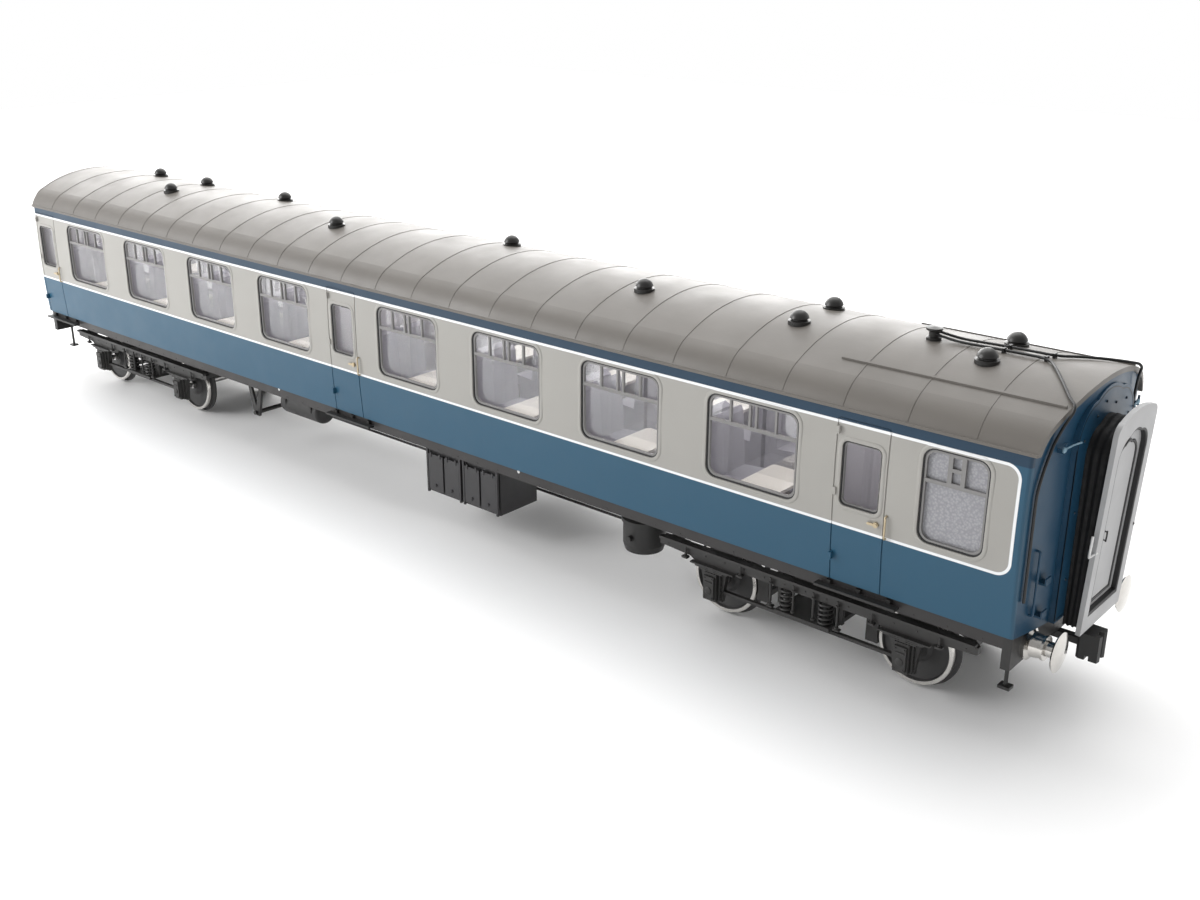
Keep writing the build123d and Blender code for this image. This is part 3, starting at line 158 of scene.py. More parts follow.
# ------------------------------------------------------------------------------- shader tools
class Shader:
    """A small wrapper that builds one node material around a Principled surface."""

    def __init__(self, name, **constants):
        self.material = bpy.data.materials.new(name)
        self.material.use_nodes = True
        self.tree = self.material.node_tree
        self.tree.nodes.clear()
        output = self.tree.nodes.new("ShaderNodeOutputMaterial")
        self.surface = self.tree.nodes.new("ShaderNodeBsdfPrincipled")
        self.tree.links.new(self.surface.outputs[0], output.inputs[0])
        for key, value in constants.items():
            self.surface.inputs[key.replace("_", " ")].default_value = value
        coordinates = self.tree.nodes.new("ShaderNodeTexCoord")
        self.place = coordinates.outputs["Object"]
        split = self.tree.nodes.new("ShaderNodeSeparateXYZ")
        self.tree.links.new(self.place, split.inputs[0])
        self.x, self.y, self.z = (self.math("DIVIDE", socket, MM) for socket in split.outputs)

    def put(self, value, socket):
        if isinstance(value, bpy.types.NodeSocket):
            self.tree.links.new(value, socket)
        else:
            socket.default_value = value

    def math(self, operation, a, b=0.0):
        node = self.tree.nodes.new("ShaderNodeMath")
        node.operation = operation
        self.put(a, node.inputs[0])
        self.put(b, node.inputs[1])
        return node.outputs[0]

    def times(self, a, b):
        return self.math("MULTIPLY", a, b)

    def less(self, a, b):
        return self.math("SUBTRACT", a, b)

    def size(self, a):
        return self.math("ABSOLUTE", a)

    def length(self, a, b):
        """Length of the vector with components a and b."""
        return self.math("SQRT", self.math("ADD", self.times(a, a), self.times(b, b)))

    def step(self, socket, edge, width):
        """0 below the edge and 1 above it, over a narrow width."""
        node = self.tree.nodes.new("ShaderNodeMapRange")
        node.interpolation_type = "SMOOTHSTEP"
        self.put(socket, node.inputs["Value"])
        node.inputs["From Min"].default_value = edge - width / 2
        node.inputs["From Max"].default_value = edge + width / 2
        return node.outputs[0]

    def below(self, socket, edge, width):
        """1 below the edge and 0 above it."""
        return self.less(1.0, self.step(socket, edge, width))

    def span(self, socket, from_low, from_high, to_low, to_high):
        node = self.tree.nodes.new("ShaderNodeMapRange")
        self.put(socket, node.inputs["Value"])
        names = ("From Min", "From Max", "To Min", "To Max")
        for name, value in zip(names, (from_low, from_high, to_low, to_high)):
            node.inputs[name].default_value = value
        return node.outputs[0]

    def noise(self, size_mm, detail=3.0, rough=0.55, stretch=(1, 1, 1)):
        """Noise whose features are about size_mm across."""
        mapping = self.tree.nodes.new("ShaderNodeMapping")
        mapping.inputs["Scale"].default_value = stretch
        self.tree.links.new(self.place, mapping.inputs[0])
        node = self.tree.nodes.new("ShaderNodeTexNoise")
        node.inputs["Scale"].default_value = 1.0 / (size_mm * MM)
        node.inputs["Detail"].default_value = detail
        node.inputs["Roughness"].default_value = rough
        self.tree.links.new(mapping.outputs[0], node.inputs["Vector"])
        return node.outputs[0]

    def cells(self, size_mm):
        """Distance to the middle of the nearest cell, 0 in its middle."""
        node = self.tree.nodes.new("ShaderNodeTexVoronoi")
        node.inputs["Scale"].default_value = 1.0 / (size_mm * MM)
        self.tree.links.new(self.place, node.inputs["Vector"])
        return node.outputs[0]

    def mix(self, factor, a, b):
        node = self.tree.nodes.new("ShaderNodeMix")
        node.data_type = "RGBA"
        self.put(factor, node.inputs[0])
        self.put((*a, 1.0) if isinstance(a, tuple) else a, node.inputs[6])
        self.put((*b, 1.0) if isinstance(b, tuple) else b, node.inputs[7])
        return node.outputs[2]

    def tint(self, colour, factor, amount):
        """Darken or lighten a colour by a noise between 0 and 1, by up to the amount each way."""
        gain = self.span(factor, 0.3, 0.7, 1.0 - amount, 1.0 + amount)
        node = self.tree.nodes.new("ShaderNodeVectorMath")
        node.operation = "SCALE"
        self.put(colour, node.inputs[0])
        self.put(gain, node.inputs["Scale"])
        return node.outputs[0]

    def colour(self, socket):
        self.put(socket, self.surface.inputs["Base Color"])

    def roughness(self, socket):
        self.put(socket, self.surface.inputs["Roughness"])

    def uneven_roughness(self, noise, smoothest, roughest):
        self.roughness(self.span(noise, 0.3, 0.7, smoothest, roughest))

    def bump(self, height, depth_mm):
        node = self.tree.nodes.new("ShaderNodeBump")
        node.inputs["Strength"].default_value = 1.0
        node.inputs["Distance"].default_value = depth_mm * MM
        self.put(height, node.inputs["Height"])
        self.tree.links.new(node.outputs[0], self.surface.inputs["Normal"])


def painted(name, colour, rough=0.42, grain=0.35, depth=0.012, mottle=0.06):
    """Satin paint or moulded plastic: fine grain in the surface and slight unevenness of tone."""
    s = Shader(name)
    s.colour(s.tint(colour, s.noise(22.0, 4.0), mottle))
    s.uneven_roughness(s.noise(6.0, 3.0), rough - 0.05, rough + 0.07)
    s.bump(s.noise(grain, 2.0), depth)
    return s.material


# --------------------------------------------------------------------------------- materials
BLUE = (0.0155, 0.078, 0.138)
BLUE_DARK = (0.006, 0.034, 0.070)
# Blue of the ends, darkened below the side blue as painted shade
BLUE_END_PAINTED_SHADE = (0.0095, 0.053, 0.105)
LIGHT_GREY = (0.355, 0.345, 0.322)
WHITE = (0.86, 0.87, 0.88)
LILAC = (0.60, 0.585, 0.615)
ROOF_GREY = (0.128, 0.117, 0.104)
TYRE = (0.70, 0.68, 0.65)
DISC = (0.042, 0.041, 0.041)


def livery():
    s = Shader("livery_paint", Specular_IOR_Level=0.4)
    # Signed distance to the round-cornered light band
    centre_x = (BAND_END + BAND_START) / 2
    half_x = BAND_END - centre_x
    centre_z = (BAND_LOW + BAND_HIGH) / 2
    half_z = (BAND_HIGH - BAND_LOW) / 2
    across = s.less(s.size(s.less(s.x, centre_x)), half_x - BAND_CORNER)
    upward = s.less(s.size(s.less(s.z, centre_z)), half_z - BAND_CORNER)
    outside = s.length(s.math("MAXIMUM", across, 0.0), s.math("MAXIMUM", upward, 0.0))
    inside = s.math("MINIMUM", s.math("MAXIMUM", across, upward), 0.0)
    distance = s.less(s.math("ADD", outside, inside), BAND_CORNER)
    in_band = s.below(distance, -LINE_HALF, 0.12)
    short_of_line = s.below(distance, LINE_HALF, 0.12)
    on_side = s.step(s.size(s.y), SIDE_EDGE_Y, 0.1)
    not_far_end = s.step(s.x, FAR_EDGE_X, 0.1)
    band = s.times(in_band, not_far_end)
    line = s.times(s.less(short_of_line, in_band), not_far_end)
    # Tones of the paint; the ends take a darker blue, which is painted shade
    top_strip = s.times(s.step(s.z, BAND_HIGH + 0.2, 0.4), on_side)
    blue = s.mix(top_strip, s.mix(on_side, BLUE_END_PAINTED_SHADE, BLUE), BLUE_DARK)
    paint = s.mix(band, blue, LIGHT_GREY)
    paint = s.mix(line, paint, WHITE)
    paint = s.tint(paint, s.noise(40.0, 4.0), 0.03)
    # Inner faces of the shell carry the interior colour
    inner = s.below(s.size(s.y), LINING_Y, 0.05)
    within = s.below(s.size(s.x), LINING_X, 0.05)
    s.colour(s.mix(s.times(inner, within), paint, LILAC))
    s.uneven_roughness(s.noise(9.0, 3.0), 0.33, 0.42)
    s.bump(s.noise(0.5, 2.0), 0.006)
    return s.material


def roof_paint():
    s = Shader("roof_paint")
    s.colour(s.tint(ROOF_GREY, s.noise(12.0, 5.0, 0.6, (0.5, 1.0, 1.0)), 0.07))
    s.uneven_roughness(s.noise(10.0, 4.0), 0.40, 0.50)
    s.bump(s.noise(0.45, 2.0), 0.014)
    return s.material


def wheel_steel():
    """Bright tyre round a satin black disc, found from the distance to the axle."""
    s = Shader("wheel_steel")
    across = s.less(s.size(s.less(s.size(s.x), PIVOT_X)), HALF_WHEELBASE)
    radius = s.length(across, s.less(s.z, AXLE_Z))
    ring = s.step(radius, TREAD_RADIUS - 1.0, 0.12)
    face = s.step(s.size(s.y), WHEEL_FACE - 1.1, 0.15)
    tread = s.below(radius, TREAD_RADIUS + 0.12, 0.1)
    rim = s.times(ring, s.times(face, tread))
    s.colour(s.mix(rim, DISC, s.tint(TYRE, s.noise(1.6, 3.0, 0.6), 0.08)))
    s.put(rim, s.surface.inputs["Metallic"])
    s.roughness(s.less(0.52, s.times(rim, 0.26)))
    s.bump(s.math("SINE", s.times(radius, 40.0)), 0.003)
    return s.material


def metal(name, colour, rough, scratch=0.9):
    s = Shader(name, Metallic=1.0)
    s.colour(s.tint(colour, s.noise(3.0, 4.0), 0.08))
    s.uneven_roughness(s.noise(scratch, 4.0, 0.7), rough * 0.75, rough * 1.35)
    s.bump(s.noise(scratch * 0.6, 2.0), 0.003)
    return s.material


def glazing():
    s = Shader("clear_glazing", IOR=1.49, Transmission_Weight=1.0, Alpha=0.22)
    s.colour(s.tint((0.93, 0.93, 0.95), s.noise(15.0, 2.0), 0.02))
    s.uneven_roughness(s.noise(7.0, 2.0), 0.01, 0.04)
    s.bump(s.noise(9.0, 1.0), 0.01)
    return s.material


def frosted():
    """Stippled lavatory glass: small raised dimples over a pale grey pane."""
    s = Shader("frosted_glazing", IOR=1.49)
    cell = s.cells(0.62)
    s.colour(s.mix(s.span(cell, 0.0, 0.7, 1.0, 0.0), (0.27, 0.27, 0.29), (0.38, 0.38, 0.40)))
    s.roughness(s.span(cell, 0.0, 0.8, 0.25, 0.5))
    s.bump(cell, 0.09)
    return s.material


def bellows_rubber():
    s = Shader("bellows_rubber", Specular_IOR_Level=0.3)
    s.colour(s.tint((0.006, 0.006, 0.0065), s.noise(4.0, 4.0), 0.2))
    s.uneven_roughness(s.noise(1.5, 4.0), 0.55, 0.75)
    s.bump(s.noise(0.3, 3.0), 0.02)
    return s.material


def seat_cloth():
    """Moulded seats painted with a faint woven check."""
    s = Shader("seat_cloth")
    weave = s.times(s.math("SINE", s.times(s.y, 11.0)), s.math("SINE", s.times(s.z, 11.0)))
    base = s.mix(s.span(weave, -1.0, 1.0, 0.0, 1.0), (0.30, 0.295, 0.33), (0.40, 0.39, 0.43))
    s.colour(s.tint(base, s.noise(6.0, 3.0), 0.06))
    s.uneven_roughness(s.noise(2.0, 3.0), 0.7, 0.85)
    s.bump(weave, 0.02)
    return s.material


def laminate():
    s = Shader("table_laminate")
    s.colour(s.tint((0.80, 0.76, 0.69), s.noise(5.0, 5.0, 0.6, (0.3, 1, 1)), 0.04))
    s.uneven_roughness(s.noise(2.0, 3.0), 0.35, 0.5)
    s.bump(s.noise(0.4, 2.0), 0.006)
    return s.material


MATERIALS = {
    "body_blue_grey": livery(),
    "roof_grey": roof_paint(),
    "vent_black": painted("vent_black", (0.020, 0.019, 0.018), 0.36, mottle=0.15),
    "pipe_black": painted("pipe_black", (0.010, 0.010, 0.010), 0.42, mottle=0.15),
    "frame_silver": painted("window_frame_paint", (0.215, 0.21, 0.207), 0.36),
    "clear_glazing": glazing(),
    "frosted_glazing": frosted(),
    "brass": metal("etched_brass", (0.50, 0.42, 0.29), 0.38),
    "interior_floor": painted("floor_lino", (0.20, 0.19, 0.20), 0.6, mottle=0.12),
    "seat_cloth": seat_cloth(),
    "table_cream": laminate(),
    "interior_wall": painted("wall_laminate", LILAC, 0.5, mottle=0.04),
    "underframe_black": painted("underframe_black", (0.020, 0.0195, 0.019), 0.48, 0.4, 0.02, 0.2),
    "solebar_brown": painted("solebar_brown", (0.023, 0.021, 0.021), 0.46, 0.4, 0.014, 0.1),
    "box_grey": painted("box_grey", (0.036, 0.035, 0.037), 0.5, 0.4, 0.018, 0.1),
    "bogie_black": painted("bogie_black", (0.030, 0.029, 0.028), 0.46, 0.35, 0.02, 0.18),
    "bellows_black": bellows_rubber(),
    "gangway_grey": painted("gangway_grey", (0.43, 0.43, 0.435), 0.42, 0.4, 0.010, 0.03),
    "coupler_black": painted("coupler_black", (0.016, 0.016, 0.016), 0.5, 0.35, 0.02, 0.15),
    "chrome": metal("buffer_chrome", (0.60, 0.58, 0.55), 0.14),
    "bright_steel": metal("bright_steel", (0.62, 0.61, 0.60), 0.3),
    "wheel_steel": wheel_steel(),
    "gasket_black": painted("gasket_black", (0.014, 0.014, 0.015), 0.5, 0.3, 0.01, 0.1),
    "hook_white": painted("hook_white", (0.80, 0.80, 0.79), 0.4, 0.3, 0.008, 0.03),
    "rod_blue": painted("rod_blue", (0.20, 0.33, 0.42), 0.4, 0.3, 0.008, 0.05),
    "seam_blue": painted("seam_blue", (0.006, 0.018, 0.030), 0.4, 0.3, 0.01, 0.1),
}

SLOT_OF = {part["node"]: part["material_slot"] for part in frame["record"]["subparts"]}
for node_name, node in NODES.items():
    node.data.materials.clear()
    node.data.materials.append(MATERIALS[SLOT_OF[node_name]])


# ----------------------------------------------------------------------------- shape tools
class Maker:
    """Collects geometry given in millimetres and writes it as one named piece."""

    def __init__(self):
        self.mesh = bmesh.new()

    def loft(self, rings, around=False):
        """Skin a row of equal closed rings; around joins the last ring to the first."""
        rows = [[self.mesh.verts.new(Vector(p) * MM) for p in ring] for ring in rings]
        pairs = list(zip(rows, rows[1:])) + ([(rows[-1], rows[0])] if around else [])
        for a, b in pairs:
            for i in range(len(a)):
                j = (i + 1) % len(a)
                self.mesh.faces.new((a[i], a[j], b[j], b[i]))
        if not around:
            self.mesh.faces.new(list(reversed(rows[0])))
            self.mesh.faces.new(rows[-1])

    def tube(self, path, radius, sides=10):
        """Round bar along a path of points."""
        points = [Vector(p) for p in path]
        angles = [2 * math.pi * k / sides for k in range(sides)]
        rings = []
        across = None
        for i, point in enumerate(points):
            tangent = (points[min(i + 1, len(points) - 1)] - points[max(i - 1, 0)]).normalized()
            if across is None:
                across = tangent.orthogonal().normalized()
            across = (across - tangent * across.dot(tangent)).normalized()
            other = tangent.cross(across)
            rings.append([point + radius * (math.cos(a) * across + math.sin(a) * other) for a in angles])
        self.loft(rings)

    def lathe(self, profile, base, axis, sides=20):
        """Turned shape: (radius, distance along the axis) pairs, both ends closed."""
        axis = Vector(axis).normalized()
        across = axis.orthogonal().normalized()
        other = axis.cross(across)
        angles = [2 * math.pi * k / sides for k in range(sides)]
        self.loft([
            [Vector(base) + axis * along + r * (math.cos(a) * across + math.sin(a) * other) for a in angles]
            for r, along in profile
        ])

    def block(self, corner, far, edge=0.12):
        """Bar with softened edges between two corners."""
        a = [min(p, q) for p, q in zip(corner, far)]
        b = [max(p, q) for p, q in zip(corner, far)]
        edge = min([edge] + [(q - p) / 2.5 for p, q in zip(a, b)])
        rings = []
        for z, shrink in ((a[2], edge), (a[2] + edge, 0), (b[2] - edge, 0), (b[2], edge)):
            x0, x1, y0, y1 = a[0] + shrink, b[0] - shrink, a[1] + shrink, b[1] - shrink
            rings.append([
                (x0 + edge, y0, z), (x1 - edge, y0, z), (x1, y0 + edge, z), (x1, y1 - edge, z),
                (x1 - edge, y1, z), (x0 + edge, y1, z), (x0, y1 - edge, z), (x0, y0 + edge, z),
            ])
        self.loft(rings)

    def piece(self, name, body, slot_name, smooth=40.0):
        """Write the piece, attached to the body if one is given."""
        bmesh.ops.recalc_face_normals(self.mesh, faces=self.mesh.faces)
        data = bpy.data.meshes.new(name)
        self.mesh.to_mesh(data)
        self.mesh.free()
        data.shade_smooth()
        data.set_sharp_from_angle(angle=math.radians(smooth))
        data.materials.append(MATERIALS[slot_name])
        made = bpy.data.objects.new(name, data)
        bpy.context.scene.collection.objects.link(made)
        if body:
            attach(made, body)
        return made


def loose_parts(node):
    """Boxes (lowest corner, highest corner) in millimetres of the separate solids of a CAD node."""
    mesh = NODES[node].data
    keys = {}
    parent = []
    index = []
    for vertex in mesh.vertices:
        key = tuple(round(c / MM, 2) for c in vertex.co)
        if key not in keys:
            keys[key] = len(parent)
            parent.append(len(parent))
        index.append(keys[key])

    def root(i):
        while parent[i] != i:
            parent[i] = parent[parent[i]]
            i = parent[i]
        return i

    for edge in mesh.edges:
        parent[root(index[edge.vertices[0]])] = root(index[edge.vertices[1]])
    groups = {}
    for place, i in keys.items():
        groups.setdefault(root(i), []).append(place)
    boxes = []
    for points in groups.values():
        corners = [[f(p[k] for p in points) for k in range(3)] for f in (min, max)]
        boxes.append((Vector(corners[0]), Vector(corners[1])))
    return sorted(boxes, key=lambda box: tuple(box[0]))


def hand_of(lowest):
    """Side of the coach a box is on: 1 for the far side, -1 for the near side."""
    return 1 if lowest.y > 0 else -1


def outer_face(lowest, highest):
    """Y of the face of a box that looks away from the middle of the coach."""
    return highest.y if hand_of(lowest) > 0 else lowest.y


def rounded(width, height, corner, steps=5):
    """Closed outline of a rounded rectangle about the origin, as (across, up) pairs."""
    points = []
    for quarter, (sx, sy) in enumerate(((1, -1), (1, 1), (-1, 1), (-1, -1))):
        for k in range(steps + 1):
            angle = math.pi / 2 * (quarter - 1 + k / steps)
            points.append((
                sx * (width / 2 - corner) + corner * math.cos(angle),
                sy * (height / 2 - corner) + corner * math.sin(angle),
            ))
    return points


def arch(half_width, bottom, top, corner, steps=7):
    """Closed outline of an upright panel with an arched top and round shoulders."""
    crown = 0.12 * half_width
    centre = (half_width - corner, top - crown - corner)
    right = [(half_width, bottom)]
    for k in range(steps + 1):
        angle = math.pi / 2 * k / steps
        right.append((centre[0] + corner * math.cos(angle), centre[1] + corner * math.sin(angle)))
    rise = [(centre[0] * (1 - k / 4), top - crown * (1 - k / 4) ** 2) for k in range(1, 4)]
    half = right + rise
    return half + [(0, top)] + [(-u, v) for u, v in reversed(half)]


# ------------------------------------------------------------------------------ window trim
def side_y(z):
    """Half width of the body at a height."""
    return SIDE_WAIST - (z - SIDE_BULGE_Z) ** 2 / (2 * SIDE_RADIUS)


def window_ring(lowest, highest, inset, out, follow):
    """Outline of a window at an inset, standing out from the curved side or from its own frame."""
    hand = hand_of(lowest)
    width = highest.x - lowest.x
    height = highest.z - lowest.z
    centre = (lowest + highest) / 2
    corner = NARROW_CORNER if width < NARROW_WIDTH else WINDOW_CORNER
    front = max(abs(lowest.y), abs(highest.y))
    outline = rounded(width - 2 * inset, height - 2 * inset, max(corner - inset, 0.4))
    return [
        (centre.x + u, hand * ((side_y(centre.z + v) if follow else front) + out), centre.z + v)
        for u, v in outline
    ]


rims = Maker()
gaskets = Maker()
for window in loose_parts("window_frames"):
    rims.loft([window_ring(*window, inset, out, True) for inset, out in RIM_SECTION], around=True)
    gaskets.loft([window_ring(*window, inset, out, False) for inset, out in GASKET_SECTION], around=True)
rims.piece("window_rims", "coach", "body_blue_grey")
gaskets.piece("window_gaskets", "coach", "gasket_black")


# --------------------------------------------------------------------------------- gangways
def plate_place(end, side):
    """Function from (across, up, depth behind the face) on a leaning gangway plate to the frame."""
    points = [v.co / MM for v in NODES[f"faceplate_{end}"].data.vertices]
    foot = min(p.z for p in points)
    foot_x = max(side * p.x for p in points if p.z < foot + 0.02)
    tip = max(points, key=lambda p: side * p.x)
    lean = math.atan2(side * tip.x - foot_x, tip.z - foot)

    def place(u, v, depth):
        x = foot_x + v * math.sin(lean) - depth * math.cos(lean)
        return (side * x, u, foot + v * math.cos(lean) + depth * math.sin(lean))

    return place


def doorway(inset, sill=0.0):
    """Outline of the doorway in the plate, inset all round and with a raised sill."""
    bottom = DOORWAY_SILL + inset + sill
    return arch(DOORWAY_HALF - inset, bottom, DOORWAY_TOP - inset, DOORWAY_CORNER - inset)


def panel(grow):
    """Outline of the recessed panel of the door, grown outwards."""
    return arch(6.0 + grow, DOORWAY_SILL + 2.4 - grow, DOORWAY_TOP - 3.6 + grow, 4.0 + grow)


def gangway_door(end, body, place):
    """Dark lining of the doorway, the door leaf, the seal round its panel, and its handle."""
    def at(outline, depth):
        return [place(u, v, depth) for u, v in outline]

    jamb = Maker()
    jamb.loft([at(doorway(inset, sill), depth) for inset, sill, depth in JAMB_SECTION], around=True)
    jamb.piece(f"gangway_jamb_{end}", body, "gasket_black")

    leaf = Maker()
    leaf.loft([at(doorway(inset), depth) for inset, depth in LEAF_EDGE]
              + [at(panel(grow), depth) for grow, depth in LEAF_PANEL])
    door = leaf.piece(f"gangway_leaf_{end}", body, "gangway_grey", 30)
    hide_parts(f"gangway_door_{end}")

    seal = Maker()
    seal.loft([at(panel(grow), depth) for grow, depth in SEAL_SECTION], around=True)
    seal.piece(f"gangway_door_seal_{end}", body, "gasket_black")

    handle = Maker()
    outward = Vector(place(0, 0, 0)) - Vector(place(0, 0, 1))
    for v in (22.4, 24.6):
        post = [(0.3, 0), (0.3, 0.1), (0.16, 0.18), (0.16, 0.6)]
        handle.lathe(post, place(HANDLE_ACROSS, v, 1.40), outward, 12)
    bar = ((22.1, 0.80), (23.5, 0.74), (24.9, 0.80))
    handle.tube([place(HANDLE_ACROSS, v, depth) for v, depth in bar], 0.2)
    handle.piece(f"gangway_handle_{end}", body, "vent_black")


def gangway_brackets(end, body, place):
    """White lamp bracket on the near edge of the plate and a dark one on the far edge."""
    for hand, radius, slot_name, name in ((-1, 0.3, "hook_white", "near"), (1, 0.4, "vent_black", "far")):
        edge = hand * BRACKET_ACROSS
        top = Vector(place(edge + hand * 1.5, 26.6, 0.9))
        knee = Vector(place(edge + hand * 1.5, 21.2, 0.9))
        above_knee = knee + Vector((0, 0, 0.4))
        heel = Vector(place(edge + hand * 0.3, 21.6, 0.5))
        foot = Vector(place(edge - hand * 0.9, 21.9, 0.05))
        bracket = Maker()
        bracket.tube([top, top.lerp(knee, 0.5), above_knee, knee, knee.lerp(heel, 0.5), heel, foot], radius)
        bracket.piece(f"gangway_bracket_{end}_{name}", body, slot_name)


def bellows_cover(end, side, place):
    """Folded rubber cover between the end panel and the back of the plate."""
    stations = FOLDS * 8

    def outline(bottom_and_top, shrink):
        bottom, top = bottom_and_top
        return arch(COVER_HALF - shrink, bottom + shrink, top - shrink, COVER_CORNER - shrink)

    def cover_ring(t, inset):
        shrink = inset + FOLD_DEPTH * (1 - math.cos(2 * math.pi * FOLDS * t))
        ring = []
        for (u, z), (p, q) in zip(outline(COVER_ON_PANEL, shrink), outline(COVER_ON_PLATE, shrink)):
            start = Vector((side * (PANEL_X + 0.02), u, z))
            ring.append(start.lerp(Vector(place(p, q, COVER_BACK)), t))
        return ring

    cover = Maker()
    outer = [cover_ring(k / stations, 0.0) for k in range(stations + 1)]
    inner = [cover_ring(k / stations, COVER_THICKNESS) for k in range(stations, -1, -1)]
    cover.loft(outer + inner, around=True)
    rubber = cover.piece(f"bellows_cover_{end}", None, "bellows_black", 60)
    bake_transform(rubber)
    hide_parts(f"bellows_{end}")


for end, side in ENDS:
    place = plate_place(end, side)
    gangway_door(end, f"gangway_{end}", place)
    gangway_brackets(end, f"gangway_{end}", place)
    bellows_cover(end, side, place)


# ------------------------------------------------------------------------------ coach end
def end_trim(end, side):
    """Seam round the raised panel of the end, its studs, and a pale rod high on both corners."""
    seam = Maker()
    borders = [
        arch(half, BODY_FOOT + rise, top, corner)
        for half, rise, top, corner in (SEAM_OUTER, SEAM_INNER)
    ]
    section = ((-0.2, borders[0]), (0.05, borders[0]), (0.05, borders[1]), (-0.2, borders[1]))
    rings = [[(side * (PANEL_FACE + out), u, v) for u, v in border] for out, border in section]
    seam.loft(rings, around=True)
    seam.piece(f"end_panel_seam_{end}", "coach", "seam_blue")

    studs = Maker()
    for y, z in STUDS:
        head = [(0.34, -0.1), (0.34, 0.12), (0.2, 0.28), (0.05, 0.3)]
        studs.lathe(head, (side * PANEL_FACE, y, z), (side, 0, 0), 12)
    studs.piece(f"end_studs_{end}", "coach", "seam_blue")

    rods = Maker()
    reach = PANEL_FACE - 0.9
    for hand in (1, -1):
        path = ((reach, 21.6, 74.9), (reach + 0.5, 18.6, 75.1), (PANEL_FACE + 0.5, 16.0, 75.3))
        rods.tube([(side * x, hand * y, z) for x, y, z in path], 0.22)
        head = [(0.2, -0.4), (0.75, -0.2), (0.85, 0.1), (0.6, 0.35), (0.1, 0.4)]
        rods.lathe(head, (side * reach, hand * 22.0, 74.9), (side, 0, 0), 16)
    rods.piece(f"end_rods_{end}", "coach", "rod_blue")


for end, side in ENDS:
    end_trim(end, side)


# ---------------------------------------------------------------------------------- bogies
def coil_spring(coils, lowest, highest):
    """Coil with closed ends, wound round a core between two seats."""
    centre = (lowest + highest) / 2
    reach = (highest.x - lowest.x) / 2 - COIL_WIRE
    count = int(COIL_TURNS * 18)
    path = []
    for k in range(count + 1):
        t = k / count
        climb = min(max((t * COIL_TURNS - 0.7) / (COIL_TURNS - 1.4), 0.0), 1.0)
        z = lowest.z + COIL_WIRE + (highest.z - lowest.z - 2 * COIL_WIRE) * climb
        path.append((centre.x + reach * math.cos(2 * math.pi * COIL_TURNS * t),
                     centre.y + reach * math.sin(2 * math.pi * COIL_TURNS * t), z))
    coils.tube(path, COIL_WIRE, 8)
    core = [(1.1, 0), (1.1, 0.5), (0.55, 0.9), (0.55, 5.3), (1.1, 5.7), (1.1, 6.2)]
    coils.lathe(core, (centre.x, centre.y, lowest.z), (0, 0, 1), 16)


def leaf_spring(leaves, lowest, highest):
    """Leaves that lengthen upwards, the lower ones bowed more, held by a buckle."""
    centre = (lowest + highest) / 2
    thick = (highest.z - lowest.z) / LEAVES
    half_long = (highest.x - lowest.x) / 2
    y0, y1 = lowest.y + 0.05, highest.y - 0.05
    for i in range(LEAVES):
        half = half_long * (0.52 + 0.24 * i)
        rings = []
        for k in range(13):
            t = k / 6 - 1
            x = centre.x + half * t
            base = lowest.z + thick * i + 0.04 + 0.35 * (half * t / half_long) ** 2 * (LEAVES - 1 - i) / 2
            top = base + thick - 0.1
            rings.append([(x, y0, base), (x, y1, base), (x, y1, top), (x, y0, top)])
        leaves.loft(rings)
    leaves.block((centre.x - 0.9, lowest.y, lowest.z), (centre.x + 0.9, highest.y, highest.z), 0.1)


def axlebox_fittings(fittings, axle_x, hand, outer):
    """Cap, lid hinge and corner bolts of an axlebox, its horn guides, hangers and keeper."""
    face = FRAME_FACE * hand
    cap = [(1.1, -0.1), (1.1, 0.16), (0.9, 0.28), (0.3, 0.34), (0.05, 0.34)]
    fittings.lathe(cap, (axle_x, outer * hand, AXLE_Z - 0.9), (0, hand, 0), 20)
    fittings.block((axle_x - 1.3, (outer - 0.2) * hand, AXLE_Z + 1.5),
                   (axle_x + 1.3, (outer + 0.24) * hand, AXLE_Z + 1.95))
    for dx in (-1.25, 1.25):
        for dz in (-2.9, 2.8):
            bolt = [(0.26, -0.1), (0.26, 0.16), (0.14, 0.26)]
            fittings.lathe(bolt, (axle_x + dx, outer * hand, AXLE_Z + dz), (0, hand, 0), 6)
    # Horn guides: an upright bar each side of the axlebox with rungs behind it
    for x in (axle_x - 2.5, axle_x + 2.5):
        fittings.block((x - 0.28, face, 7.2), (x + 0.28, (FRAME_FACE + 0.8) * hand, 15.4), 0.08)
        for z in (8.4, 10.2, 12.0, 13.8):
            fittings.block((x - 0.5, face, z - 0.14), (x + 0.5, (FRAME_FACE + 0.5) * hand, z + 0.14), 0.06)
    # Spring hanger brackets on the side frame
    for x in (axle_x - 9.4, axle_x + 9.4):
        fittings.block((x - 1.0, face, 17.2), (x + 1.0, (FRAME_FACE + 1.5) * hand, 17.9))
        fittings.tube([(x, HANGER_Y * hand, 17.9), (x, HANGER_Y * hand, 20.5)], 0.3)
        fittings.lathe([(0.5, 0), (0.5, 0.35), (0.3, 0.45)], (x, HANGER_Y * hand, 17.9), (0, 0, 1), 6)
    # Keeper under the horn guides
    fittings.block((axle_x - 3.1, 22.3 * hand, 6.8), (axle_x + 3.1, 23.7 * hand, 7.3))


